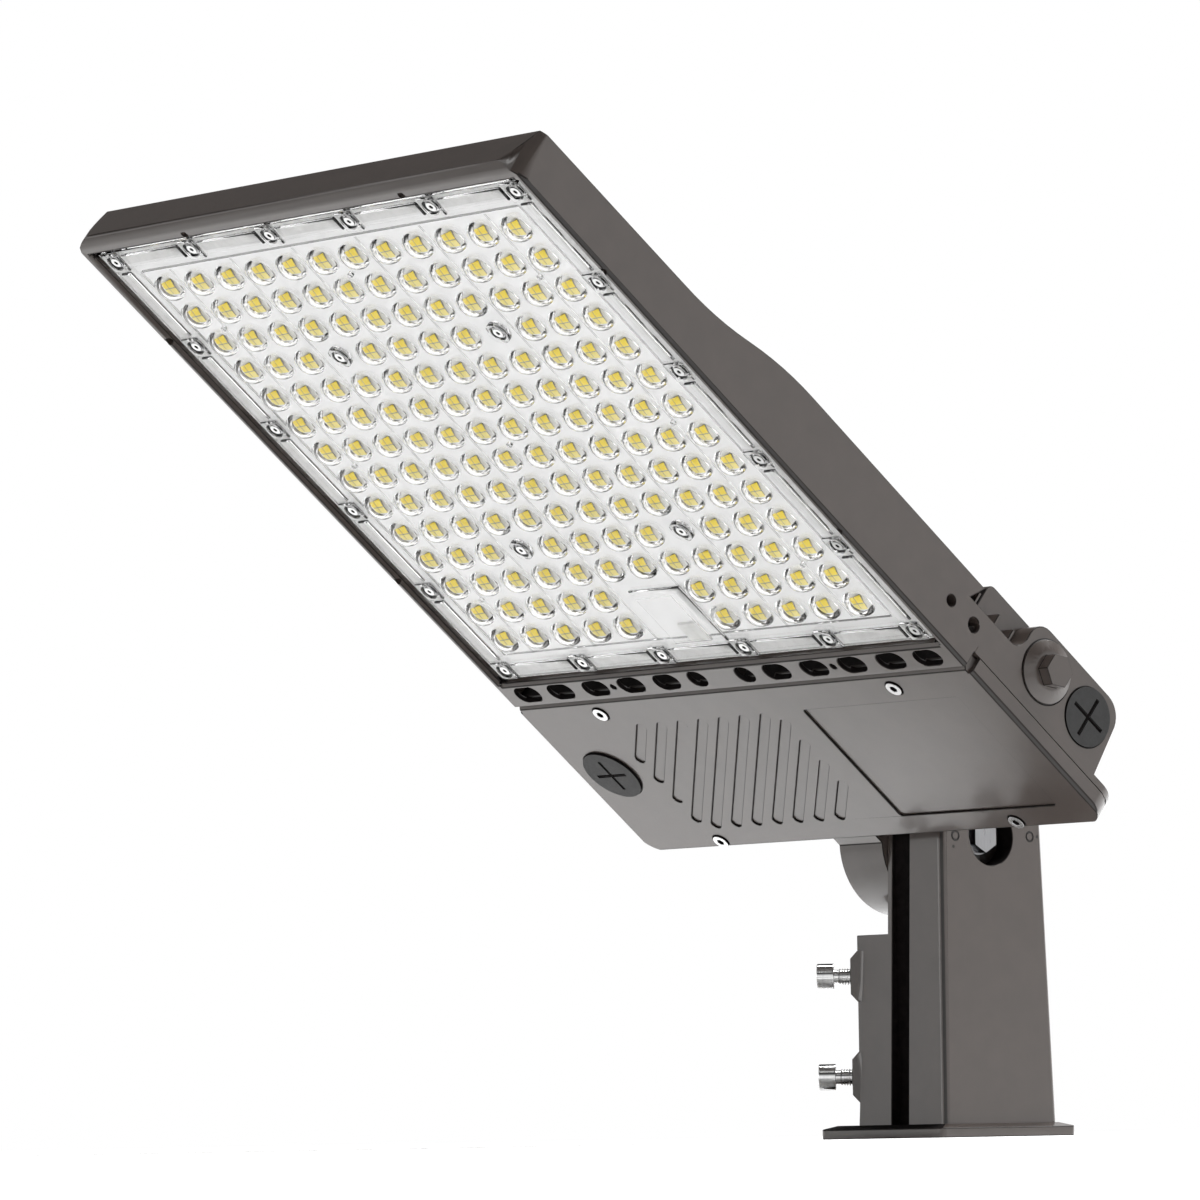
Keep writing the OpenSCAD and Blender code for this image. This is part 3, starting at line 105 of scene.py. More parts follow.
# Bars between the bosses, and locating pegs
BAR_FRONT, BAR_SHORT, BAR_GAP, BAR_EDGE = 1.9, 0.2, 1.4, 1.2
PEG_FRONT, PEG_R, PEG_EDGE = 0.8, 1.6, 0.5
# Window over the connector: limits across, limits from the grid's centre along, and depth
PAD_X, PAD_Y, PAD_FRONT, PAD_EDGE = (-15.4, 29.4), (123.2, 170.2), 1.76, 1.2
RECESS_X, RECESS_Y, RECESS_BACK = (-22, 16.8), (130, 168), 2.7
SEAM_OFFSET, SEAM_HALF, SEAM_Z = 0.55, 0.12, (3.0, 3.45)
# Domes: where they end behind the plate's front, half size of the block that trims them,
# and the share of the chip's offset that the hollow follows
DOME_TRIM, DOME_ROOM, CAVE_SHARE = 0.8, 20, 0.4
# Phosphor squares: half size, offset from the chip's middle, and depth
DIE_HALF, DIE_OFFSET, DIE_Z, DIE_EDGE = 2.1, 2.36, (5.45, 5.7), 0.15
# Black rings at the plate's screws, painted shade in their recesses
SHADE_RING_R, SHADE_RING_THICK = 4.75, 0.5

# Clamp screws, measured along their own axis, and the heights of the two
CLAMP_START, CLAMP_HEAD, CLAMP_SINK, CLAMP_TURN = 34, 64, 0.2, -135
CLAMPS = (("clamp_screw_upper", "clamp_upper", 93.8), ("clamp_screw_lower", "clamp_lower", 35.7))
THREAD_PITCH, THREAD_DEPTH, THREAD_EDGE = 1.5, 0.72, 0.66
THREAD_FROM, THREAD_TO, THREAD_REST = 0.5, 1.9, 2
CAP_EDGE, KEY_MOUTH, KEY_BEYOND = 0.6, 0.5, 20

# Places on the head: half width and near edge, cover screws as |x| and y, side pieces as y and z
HALF_W, NEAR_Y = 196, -42.5
COVER_SCREW_X = 127
COVER_SCREWS = ((COVER_SCREW_X, -48.5), (COVER_SCREW_X, -164.5))
SENSOR_PLUG, SIDE_PLUG, SIDE_BOLT = (-165, -113.1), (-89.5, 37), (-128.2, 37.1)
# Inner and outer radius of the shade round each; a disc starts from nearly nothing
DISC = 0.01
COVER_SEAT, SENSOR_SEAT, PLUG_SEAT, BOLT_SEAT = (DISC, 6.0), (18.0, 19.9), (16.4, 17.5), (17.6, 18.7)
# Line between the cover's screws and the optic plate's, and |x| past which a plug is a side plug
COVER_END = -171
SIDE_FROM = 190

# Front corner of the arm: x - y over which painted shade darkens its line at the foot, and the taper upwards
ARM_CORNER, ARM_TAPER = 87.78, 0.0576
CORNER_X, CORNER_Y, BASE_TOP = 36, -34, 8
# Counterbore: limits across, radii of the shade in it, and radius that holds the faces of its wall
BORE_X, BORE_SHADE, BORE_R = (20, 41.4), (DISC, 16.95), 17.2
# Marks beside the counterbore: y, z, inner radius and outer radius
MARKS = ((-27.7, PIVOT_Z, 1.9, 3.3), (30.5, PIVOT_Z, 1.9, 3.3), (-29.5, 166.2, DISC, 1.0), (36.5, PIVOT_Z, DISC, 1.0))
MARK_FACE = 40

# A wall runs along a direction where its normal has less than this share of it
EDGE_ON = 0.5
# Angles in degrees: over which an edge is rounded, and up to which castings and modelled pieces shade
# as one surface; then for small turned pieces, and for faces that count as one plane
SHARP, CAST_SHADE, MADE_SHADE, TURNED, FLAT = 35, 32, 34, 60, 0.4
# Roundings of small pieces and of bolts
SMALL_EDGE, BOLT_EDGE = 0.2, 0.3
# Distance at which doubles merge, and height over a face's plane that makes an edge hollow, in metres
MERGE, HOLLOW = 2e-6, 1e-7


def plate_zone(margin, z):
    """A zone of the optic plate's outline, wider than it by a margin."""
    return {"x": (-LENS_X - margin, LENS_X + margin),
            "y": (GRID_Y - LENS_Y - margin, GRID_Y + LENS_Y + margin), "z": z}


# Zones that masks shade, by their limits along the axes of the head or, on the arm, of the part
RIM_ZONE = {"z": (0.08, 1.72)}
# Width of the rim's chamfer, y of the far lip, depth of the front seats and |x| of the side ones
RIM_IN, LIP_START, FRONT_DEPTH, SIDE_DEPTH = 1.75, -574, 3, 193.5
STRIP_ZONE = {"x": (-188, 188), "y": (-194.5, -172), "z": (2.2, 30)}
POCKET_ZONE = plate_zone(2.4, (0.06, 5.8))
TRAY_ZONE = plate_zone(-1.4, (5.9, 9))
SENSOR_CROSS, SIDE_CROSS = {"z": (-1.3, -0.2)}, 195.95
COVER_RECESSES = {"y": (-170, 0), "z": (-0.8, 1.2)}
PLATE_RECESSES = {"y": (-600, -190), "z": (2.6, 3.6)}
ARM_SLOT = {"x": (-0.1, 14.3), "y": (-60, -30), "z": (8, 215)}
# Zones whose faces are painted black as painted shade
ARM_SLOT_FACES = {"x": (-0.3, 14.8), "y": (-INF, -35), "z": (5.6, INF)}
ARM_BORE_FACES = {"x": (22, 41.5)}
GAP_FACES = plate_zone(2, (0.3, 5.9))
SEAT_FACES, SEAT_R = {"y": (COVER_END, INF), "z": (0.1, 1.6)}, 6.2
VENT_FACES = {"x": (-188, 188), "y": (-193.5, -178.5), "z": (0.6, 25)}
GROOVE_FACES = {"x": (-180, 180), "y": (-170, -48), "z": (0.2, 0.9)}
COVER_KEY_FACES = {"y": (COVER_END, INF), "z": (-0.9, 0.8)}
PLATE_KEY_FACES = {"y": (-INF, COVER_END), "z": (2.5, 3.4)}
SENSOR_CROSS_FACES = {"x": (-SIDE_FROM, SIDE_FROM), "z": (-1.45, -0.1)}
SIDE_CROSS_FACES = (194.9, 196.05)
# Zones whose edges aren't rounded
FAR_LIP = {"x": (-192, 192), "y": (-INF, -574.5), "z": (-INF, 5)}
SIDE_LINE, SIDE_LINE_X = {"y": (-178, INF), "z": (9, 15.5)}, 193
CLAMP_BOSSES = {"x": (-INF, -18), "y": (-INF, -18), "z": (19, 111)}
MARK_EDGES, MARK_SIDE = {"x": (38, INF), "z": (PIVOT_Z - 8, PIVOT_Z + 8)}, 22

# Stage, in metres: camera solved from the optic grid, floor and softboxes
EYE, VIEW, RIGHT = (3.08378, -2.82737, -0.00472), (-0.76564, 0.63872, 0.07634), (0.63943, 0.76864, -0.01798)
EYE_DISTANCE, EYE_HEIGHT = 4.1, 0.003
FOCAL_LENGTH, SENSOR_WIDTH, CLIP = 216.33, 36, (0.1, 100)
FLOOR_R, FLOOR_DROP = 9, 0.0006
SOFTBOXES = (("top softbox", "top_power", (0.2, 1.8, 3.6), 3.0),
             ("front softbox", "front_power", (-1.2, -3.2, 0.7), 1.2))
AIM = Vector((0, -0.1, 0.25))
WHITE = (1, 1, 1)


def grid(i, j):
    """Place of a column and a row."""
    return (i - (COLUMNS - 1) / 2) * PITCH_X, GRID_Y + (j - (ROWS - 1) / 2) * PITCH_Y


OPTICS = [grid(i, j) for i in range(COLUMNS) for j in range(ROWS) if (i, j) not in BLANK]
CENTRE_PLACES = [grid(*p) for p in CENTRE_SCREWS]
EDGE_PLACES = ([(s * SCREW_X, GRID_Y - SCREW_Y + k * SCREW_Y / HALF_STEPS) for k in range(6) for s in (-1, 1)]
               + [(-SCREW_X + k * SCREW_X / HALF_STEPS, GRID_Y + s * SCREW_Y) for k in range(1, 5) for s in (-1, 1)])
PLATE_SCREWS = EDGE_PLACES + CENTRE_PLACES


# Shader building

class Wire:
    """A socket that Python's operators work on; each operation adds one Math node."""

    def __init__(self, tree, socket):
        self.tree, self.socket = tree, socket

    def math(self, operation, *others):
        node = self.tree.node("ShaderNodeMath", {"operation": operation})
        for k, value in enumerate((self, *others)):
            self.tree.feed(node.inputs[k], value)
        return Wire(self.tree, node.outputs[0])

    def __add__(self, other):
        return self.math("ADD", other)

    def __radd__(self, other):
        return self.math("ADD", other)

    def __sub__(self, other):
        return self.math("SUBTRACT", other)

    def __rsub__(self, other):
        return (self * -1) + other

    def __mul__(self, other):
        return self.math("MULTIPLY", other)

    def __rmul__(self, other):
        return self.math("MULTIPLY", other)

    def over(self, other):
        return self.math("GREATER_THAN", other)

    def under(self, other):
        return self.math("LESS_THAN", other)

    def size(self):
        return self.math("ABSOLUTE")

    def wave(self, pitch):
        """Distance from the nearest multiple of pitch, signed."""
        steps = self * (1 / pitch) + 0.5
        return (steps.math("FRACT") - 0.5) * pitch


class Tree:
    """A node tree with short calls for its nodes."""

    def __init__(self, node_tree):
        self.nodes, self.links = node_tree.nodes, node_tree.links

    def node(self, kind, settings=None, sockets=None):
        """A node of this type, with its settings first and then the values or links of its sockets."""
        node = self.nodes.new(kind)
        for key, value in (settings or {}).items():
            if key == "stops":
                for k, (position, colour) in enumerate(value):
                    stop = node.color_ramp.elements[k]
                    stop.position, stop.color = position, (*colour, 1)
            else:
                setattr(node, key, value)
        for key, value in (sockets or {}).items():
            self.feed(node.inputs[key], value)
        return node

    def feed(self, socket, value):
        """Gives an input a link or a plain value."""
        if isinstance(value, Wire):
            self.links.new(value.socket, socket)
        elif hasattr(value, "is_output"):
            self.links.new(value, socket)
        else:
            socket.default_value = value

    def ramp(self, value, stops):
        """A colour between two, by where the value lies."""
        return self.node("ShaderNodeValToRGB", {"stops": stops}, {"Fac": value}).outputs["Color"]

    def any_ray(self, *kinds):
        """1 for rays of these kinds."""
        path = self.node("ShaderNodeLightPath")
        mask, *others = [Wire(self, path.outputs[f"Is {kind} Ray"]) for kind in kinds]
        for other in others:
            mask = mask.math("MAXIMUM", other)
        return mask

    def shift(self, mask, first, second):
        """The first shader where the mask is 0 and the second where it is 1."""
        mix = self.node("ShaderNodeMixShader", None, {0: mask, 1: first.outputs[0], 2: second.outputs[0]})
        return mix.outputs[0]


class Shader(Tree):
    """A Principled material."""

    def __init__(self, name, colour, roughness, **uniform):
        self.material = bpy.data.materials.new(name)
        self.material.use_nodes = True
        super().__init__(self.material.node_tree)
        self.bsdf = self.nodes["Principled BSDF"]
        self.bsdf.inputs["Base Color"].default_value = (*colour, 1)
        self.bsdf.inputs["Roughness"].default_value = roughness
        for key, value in uniform.items():
            self.bsdf.inputs[key.replace("_", " ")].default_value = value
        self.place = None

    def coords(self):
        """The place on the piece, in metres."""
        if self.place is None:
            self.place = self.node("ShaderNodeTexCoord").outputs["Object"]
        return self.place

    def split(self, vector):
        """The three parts of a vector, as wires."""
        parts = self.node("ShaderNodeSeparateXYZ", None, {"Vector": vector})
        return [Wire(self, parts.outputs[k]) for k in range(3)]

    def head_coords(self):
        """The piece's place in the head's own frame, in millimetres, as three wires."""
        turned = self.node("ShaderNodeMapping", {"vector_type": "TEXTURE"},
                           {"Vector": self.coords(), "Location": HEAD.translation, "Rotation": HEAD.to_euler(),
                            "Scale": (MM, MM, MM)})
        return self.split(turned.outputs[0])

    def noise(self, scale, detail=2, stretch=None):
        """Clouds between 0 and 1, drawn out along an axis by a stretch under 1."""
        vector = self.coords()
        if stretch:
            vector = self.node("ShaderNodeVectorMath", {"operation": "MULTIPLY"},
                               {0: vector, 1: stretch}).outputs[0]
        made = self.node("ShaderNodeTexNoise", None, {"Vector": vector, "Scale": scale, "Detail": detail})
        return Wire(self, made.outputs["Fac"])

    def blend(self, mask, first, second):
        """The first colour where the mask is 0 and the second where it is 1."""
        made = self.node("ShaderNodeMix", {"data_type": "RGBA"})
        self.feed(made.inputs["Factor"], mask)
        for key, colour in (("A", first), ("B", second)):
            socket = [s for s in made.inputs if s.name == key and s.type == "RGBA"][0]
            self.feed(socket, (*colour, 1) if isinstance(colour, tuple) else colour)
        return [s for s in made.outputs if s.type == "RGBA"][0]

    def mottled(self, colour, spread, scale, detail=3, stops=(0.35, 0.65)):
        """The colour, clouded between a darker and a lighter tone."""
        return self.ramp(self.noise(scale, detail), list(zip(stops, shades(colour, spread))))

    def bump(self, height, strength, distance=0.0002):
        """Fine relief, with its distance in metres."""
        made = self.node("ShaderNodeBump", None, {"Height": height, "Strength": strength, "Distance": distance})
        self.feed(self.bsdf.inputs["Normal"], made.outputs["Normal"])

    def set(self, socket, value):
        self.feed(self.bsdf.inputs[socket], value)

    def surface(self, shader):
        """Puts a shader in place of the Principled one at the output."""
        self.feed(self.nodes["Material Output"].inputs["Surface"], shader)


def shades(colour, spread):
    """A darker and a lighter tone round one colour."""
    return [tuple(min(1, c * (1 + s * spread)) for c in colour) for s in (-1, 1)]


def times(colour, share):
    """A share of a colour."""
    return tuple(share * c for c in colour)


def inside(*pairs):
    """1 where every value lies between its two limits."""
    mask = 1
    for value, low, high in pairs:
        mask = value.over(low) * value.under(high) * mask
    return mask


def zone_mask(place, zone):
    """1 where the place, given as three wires, lies in a zone."""
    return inside(*((place["xyz".index(axis)], *limits) for axis, limits in zone.items()))


def ring_mask(u, v, centre, low, high):
    """1 between two radii round a centre."""
    du, dv = u - centre[0], v - centre[1]
    return inside((du * du + dv * dv, low * low, high * high))


def head_painted_shade(m):
    """Painted shade on the rim chamfers, pocket wall and vent gap, and in the seats of screws, plugs and bolts."""
    place = x, y, z = m.head_coords()
    side = x.size()
    rim = (zone_mask(place, RIM_ZONE) * (side.over(HALF_W - RIM_IN) + y.over(NEAR_Y - RIM_IN))
           * y.over(LIP_START))
    strip = zone_mask(place, STRIP_ZONE)
    pocket = zone_mask(place, POCKET_ZONE)
    screws = sum(ring_mask(side, y, screw, *COVER_SEAT) for screw in COVER_SCREWS)
    seats = z.under(FRONT_DEPTH) * (screws + ring_mask(x, y, SENSOR_PLUG, *SENSOR_SEAT))
    side_seats = side.over(SIDE_DEPTH) * (ring_mask(y, z, SIDE_BOLT, *BOLT_SEAT)
                                          + ring_mask(y, z, SIDE_PLUG, *PLUG_SEAT))
    return rim + strip + pocket + seats + side_seats


def tray(m):
    """The bare metal floor round the board."""
    return zone_mask(m.head_coords(), TRAY_ZONE)


def arm_painted_shade(m):
    """Painted shade in the front groove, on the front corner, in the counterbore and in the marks beside it."""
    place = x, y, z = [value * TO_MM for value in m.split(m.coords())]
    slot = zone_mask(place, ARM_SLOT)
    corner = ((x - y + z * ARM_TAPER).over(ARM_CORNER) * x.over(CORNER_X) * y.under(CORNER_Y)
              * z.over(BASE_TOP))
    bore = ring_mask(y, z, (0, PIVOT_Z), *BORE_SHADE) * inside((x, *BORE_X))
    marks = x.over(MARK_FACE) * sum(ring_mask(y, z, (at_y, at_z), low, high) for at_y, at_z, low, high in MARKS)
    return slot + corner + bore + marks


def plug_cross_shade(m):
    """Painted shade in the cross slots of the side plugs and of the sensor plug."""
    place = m.head_coords()
    side = place[0].size().over(SIDE_FROM)
    return side * place[0].size().under(SIDE_CROSS) + (1 - side) * zone_mask(place, SENSOR_CROSS)


def screw_recess_shade(m):
    """Painted shade on the recess floors of the cover screws and of the screws in the optic plate."""
    place = m.head_coords()
    return zone_mask(place, COVER_RECESSES) + zone_mask(place, PLATE_RECESSES)


# Finishes

def powder_coat(name, colour, dark=None, pale=None):
    """Satin paint; dark gives a mask of painted shade, a darker colour with less coat in creases and recesses, and
    pale one for the unpainted tray.
    """
    # Coat weight, the share of it lost in painted shade, and the share of the colour left in painted shade
    coat, coat_loss, shade = 0.8, 0.75, 0.22
    m = Shader(name, colour, 0.36, Coat_Weight=coat, Coat_Roughness=0.1)
    tone = m.mottled(colour, 0.05, 60)
    if dark:
        shaded = dark(m).math("MINIMUM", 1)
        tone = m.blend(shaded, tone, times(colour, shade))
        m.set("Coat Weight", coat - shaded * coat_loss)
    if pale:
        tone = m.blend(pale(m), tone, (0.82, 0.82, 0.82))
    m.set("Base Color", tone)
    m.set("Roughness", 0.27 + m.noise(900) * 0.1)
    m.bump(m.noise(2600), 0.03)
    return m.material


def edge_painted_shade(name, bronze):
    """Painted shade along the rounded edges of the castings: a darker paint colour that stands in for the shade there.
    """
    colour = times(bronze, 0.25)
    m = Shader(name, colour, 0.5, Specular_IOR_Level=0.25)
    m.set("Base Color", m.mottled(colour, 0.1, 90))
    m.bump(m.noise(2600), 0.06)
    return m.material


def painted_shade_black(name):
    """Painted shade: black on the floors and walls of slots and recesses, where they lie unlit."""
    m = Shader(name, (0.006, 0.005, 0.005), 0.9, Specular_IOR_Level=0.08)
    m.set("Base Color", m.ramp(m.noise(200, 3), [(0.3, (0.004, 0.003, 0.003)), (0.7, (0.009, 0.007, 0.007))]))
    m.bump(m.noise(1500), 0.1)
    return m.material


def clear_plastic(name, roughness):
    """Clear optic; light that falls on what lies behind passes straight through."""
    m = Shader(name, WHITE, roughness, Transmission_Weight=1.0, IOR=1.49)
    m.set("Roughness", m.noise(220) * roughness)
    open_way = m.node("ShaderNodeBsdfTransparent", None, {"Color": (*WHITE, 1)})
    m.surface(m.shift(m.any_ray("Shadow", "Diffuse"), m.bsdf, open_way))
    return m.material


def white_mask(name, colour):
    """The board's white solder mask."""
    m = Shader(name, colour, 0.35)
    m.set("Base Color", m.mottled(colour, 0.012, 120, 2, (0.4, 0.6)))
    m.bump(m.noise(700), 0.05, 0.0001)
    return m.material


def phosphor(name, far_tone, near_tone, shift):
    """Saturated in the far pair of chips and paler in the near pair."""
    m = Shader(name, near_tone, 0.35)
    y = m.head_coords()[1]
    local = (y - (GRID_Y + PITCH_Y / 2 + shift)).wave(PITCH_Y)
    grain = m.noise(3000) * 0.1
    near = (local * 0.35 + 0.5 + grain).math("MINIMUM", 1.0).math("MAXIMUM", 0.0)
    m.set("Base Color", m.blend(near, far_tone, near_tone))
    return m.material


def bright_metal(name, colour, roughness, scale, dark=None):
    """Plated or bare metal with faint streaks; dark gives a mask of painted shade, black in recesses."""
    m = Shader(name, colour, roughness, Metallic=1.0)
    low, high = shades(colour, 0.06)
    streaks = m.noise(scale, 3, (1, 1, 0.15))
    tone = m.ramp(streaks, [(0.3, low), (0.7, high)])
    m.set("Base Color", m.blend(dark(m), tone, (0.02, 0.02, 0.02)) if dark else tone)
    m.set("Roughness", roughness * 0.7 + streaks * roughness * 0.6)
    return m.material


def moulded(name, colour, roughness, grain, dark=None):
    """Plastic or rubber with a fine grain; dark gives a mask of painted shade, black in slots."""
    m = Shader(name, colour, roughness)
    tone = m.mottled(colour, 0.08, grain * 0.3)
    m.set("Base Color", m.blend(dark(m), tone, (0.004, 0.004, 0.004)) if dark else tone)
    m.set("Roughness", roughness * 0.85 + m.noise(grain) * roughness * 0.3)
    m.bump(m.noise(grain * 2), 0.2)
    return m.material


# Modelling calls

def alone(*objects):
    """Selects just these objects, with the first one active."""
    if bpy.context.mode != "OBJECT":
        bpy.ops.object.mode_set(mode="OBJECT")
    bpy.ops.object.select_all(action="DESELECT")
    for o in objects:
        o.select_set(True)
    bpy.context.view_layer.objects.active = objects[0] if objects else None


def settle(o):
    """Puts an object's place, turn and scale into its mesh."""
    alone(o)
    bpy.ops.object.transform_apply(location=True, rotation=True, scale=True)
    return o


def apply(o, modifier):
    """Puts a modifier into the mesh."""
    alone(o)
    bpy.ops.object.modifier_apply(modifier=modifier.name)
    return o


def named(name):
    """The primitive just added, with its name and its place in its mesh."""
    o = bpy.context.object
    o.name = name
    return settle(o)


def box(name, x0, x1, y0, y1, z0, z1):
    """A block between these limits, in the frame that it is modelled in."""
    alone()
    bpy.ops.mesh.primitive_cube_add(size=1, location=((x0 + x1) / 2 * MM, (y0 + y1) / 2 * MM, (z0 + z1) / 2 * MM),
                                    scale=((x1 - x0) * MM, (y1 - y0) * MM, (z1 - z0) * MM))
    return named(name)


def rod(name, z0, z1, r, sides=32):
    """An upright cylinder on the origin's axis."""
    alone()
    bpy.ops.mesh.primitive_cylinder_add(vertices=sides, radius=r * MM, depth=(z1 - z0) * MM,
                                        location=(0, 0, (z0 + z1) / 2 * MM))
    return named(name)


def ball(name, segments, rings, place, size):
    """An ellipsoid with these half sizes."""
    alone()
    bpy.ops.mesh.primitive_uv_sphere_add(segments=segments, ring_count=rings, radius=MM,
                                         location=tuple(v * MM for v in place), scale=size)
    return named(name)


def copies(o, places):
    """The piece repeated at offsets, joined to one."""
    made = []
    for x, y in places:
        c = o.copy()
        c.data = o.data.copy()
        bpy.context.scene.collection.objects.link(c)
        c.location = (x * MM, y * MM, 0)
        made.append(c)
    bpy.data.objects.remove(o)
    return settle(joined(*made))


def joined(*objects):
    """The objects as one."""
    alone(*objects)
    bpy.ops.object.join()
    return bpy.context.view_layer.objects.active


def cut(o, tool, operation="DIFFERENCE"):
    """Takes the tool off the piece, or joins it on, and uses it up."""
    m = o.modifiers.new("cut", "BOOLEAN")
    m.operation, m.object, m.solver = operation, tool, "MANIFOLD"
    apply(o, m)
    bpy.data.objects.remove(tool)
    return o


def add(o, tool):
    """Joins the tool on."""
    return cut(o, tool, "UNION")


def hollow_edges(mesh):
    """Keys of the edges between two faces that close in towards each other."""
    faces = {}
    for f in mesh.polygons:
        for key in f.edge_keys:
            faces.setdefault(key, []).append(f)
    found = set()
    for key, pair in faces.items():
        if len(pair) == 2:
            a, b = pair
            beside = mesh.vertices[[v for v in b.vertices if v not in key][0]].co
            if (beside - mesh.vertices[key[0]].co).dot(a.normal) > HOLLOW:
                found.add(key)
    return found


def middle(mesh, edge):
    """The middle of an edge, in millimetres."""
    a, b = (mesh.vertices[k].co for k in edge.vertices)
    return (a + b) / 2 * TO_MM


def rounded(o, width, segments=2, angle=SHARP, skip=None, slot=-1):
    """Rounds the edges sharper than the angle, other than those a test leaves out."""
    m = o.modifiers.new("round", "BEVEL")
    m.width, m.segments, m.material = width * MM, segments, slot
    m.use_clamp_overlap = False
    m.limit_method, m.angle_limit = "ANGLE", math.radians(angle)
    if skip:
        alone(o)
        bpy.ops.object.mode_set(mode="EDIT")
        bpy.ops.mesh.select_mode(type="EDGE")
        bpy.ops.mesh.select_all(action="DESELECT")
        bpy.ops.mesh.edges_select_sharp(sharpness=math.radians(angle))
        bpy.ops.object.mode_set(mode="OBJECT")
        mesh = o.data
        inner = hollow_edges(mesh)
        weight = mesh.attributes.new("bevel_weight_edge", "FLOAT", "EDGE")
        for e in mesh.edges:
            plain = e.select and e.key not in inner and not skip(middle(mesh, e))
            weight.data[e.index].value = 1 if plain else 0
        m.limit_method = "WEIGHT"
    return apply(o, m)


def smooth(o, angle=CAST_SHADE, weighted=False, soft=None):
    """Smooth shading up to an angle; soft tells where an edge shades as a round one all the same."""
    alone(o)
    bpy.ops.object.shade_smooth_by_angle(angle=math.radians(angle))
    if soft:
        for e in o.data.edges:
            if e.use_edge_sharp and soft(middle(o.data, e)):
                e.use_edge_sharp = False
    if weighted:
        m = o.modifiers.new("weigh", "WEIGHTED_NORMAL")
        m.keep_sharp = True
        apply(o, m)
    return o


def paint(o, *materials):
    """Gives a piece these materials, in this order of slots."""
    o.data.materials.clear()
    for m in materials:
        o.data.materials.append(m)


def repaint(material, *nodes):
    """Paints nodes of the frame as they are."""
    for node in nodes:
        paint(frame["nodes"][node], material)


def finish(o, name, material, body, nodes=(), on_head=False):
    """Puts a piece in its place, gives it its finish and hangs it on its body."""
    if on_head:
        o.matrix_world = HEAD
    settle(o)
    o.name = name
    o.data.name = name
    if material:
        paint(o, material)
    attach(o, body)
    if nodes:
        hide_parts(*nodes)
    return o


def dressed(node, materials, body, width, skip=None, soft=None, deep=None):
    """A merged copy of a frame node with its sharp edges rounded.

    The materials are the main one, the one of the edges with its painted shade, and the black painted shade of the
    faces that deep picks.
    """
    alone(frame["nodes"][node])
    bpy.ops.object.duplicate()
    o = bpy.context.view_layer.objects.active
    o.parent = None
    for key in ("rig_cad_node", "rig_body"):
        if key in o:
            del o[key]
    alone(o)
    bpy.ops.object.mode_set(mode="EDIT")
    bpy.ops.mesh.select_all(action="SELECT")
    bpy.ops.mesh.remove_doubles(threshold=MERGE)
    bpy.ops.mesh.dissolve_limited(angle_limit=math.radians(FLAT))
    bpy.ops.object.mode_set(mode="OBJECT")
    paint(o, *materials)
    if deep:
        for f in o.data.polygons:
            if deep(f.center * TO_MM, f.normal):
                f.material_index = len(materials) - 1
    rounded(o, width, skip=skip, slot=min(1, len(materials) - 1))
    smooth(o, weighted=True, soft=soft)
    return finish(o, node + "_piece", None, body, (node,))


# Tests of a place of the part, some with the face's normal

def in_head(p):
    """The place in the head's own frame."""
    return (TO_HEAD @ (p * MM)) / MM


def within(p, zone):
    """Whether a place lies in a zone."""
    return all(low < getattr(p, axis) < high for axis, (low, high) in zone.items())


def sharp_on_arm(p):
    """Edges of the marks and of the clamp screws' bosses."""
    marks = within(p, MARK_EDGES) and abs(p.y) > MARK_SIDE
    return marks or within(p, CLAMP_BOSSES)


def painted_shade_on_arm(p, n):
    """Painted shade, black on the wall of the counterbore and the faces of the front groove."""
    bore = within(p, ARM_BORE_FACES) and abs(n.x) < EDGE_ON and math.hypot(p.y, p.z - PIVOT_Z) < BORE_R
    return bore or within(p, ARM_SLOT_FACES)


def far_lip(p):
    """The rim's far lip, whose edges aren't rounded and shade as round ones."""
    return within(in_head(p), FAR_LIP)


def sharp_on_head(p):
    """The far lip, and the edges that run along the sides beside the cover."""
    q = in_head(p)
    return far_lip(p) or (abs(q.x) > SIDE_LINE_X and within(q, SIDE_LINE))


def painted_shade_on_head(p, n):
    """Painted shade, black on the seats of the cover screws, walls of vent slots and grooves, and the gap round the
    optic plate.
    """
    q = in_head(p)
    seat = abs(abs(q.x) - COVER_SCREW_X) < SEAT_R and within(q, SEAT_FACES)
    wall = abs(n.dot(HEAD_BACK)) < EDGE_ON and (within(q, VENT_FACES) or within(q, GROOVE_FACES))
    return seat or wall or within(q, GAP_FACES)


def painted_shade_on_screws(p, n):
    """Painted shade, black on the floors of the screws' recesses."""
    q = in_head(p)
    return within(q, COVER_KEY_FACES) or within(q, PLATE_KEY_FACES)


def painted_shade_on_plugs(p, n):
    """Painted shade, black in the cross slots of the plugs."""
    q = in_head(p)
    return SIDE_CROSS_FACES[0] < abs(q.x) < SIDE_CROSS_FACES[1] or within(q, SENSOR_CROSS_FACES)


# Settings

class PaintSettings(bpy.types.PropertyGroup):
    bronze: FloatVectorProperty(name="Bronze", description="Colour of the powder coat", subtype="COLOR",
                                default=(0.068, 0.053, 0.046), min=0, max=1)
    plug: FloatVectorProperty(name="Plugs", description="Colour of the moulded plugs", subtype="COLOR",
                              default=(0.024, 0.024, 0.024), min=0, max=1)
    edge: FloatProperty(name="Edge radius", description="Rounding of the castings' edges, in millimetres",
                        default=0.5, min=0.1, max=1.0)


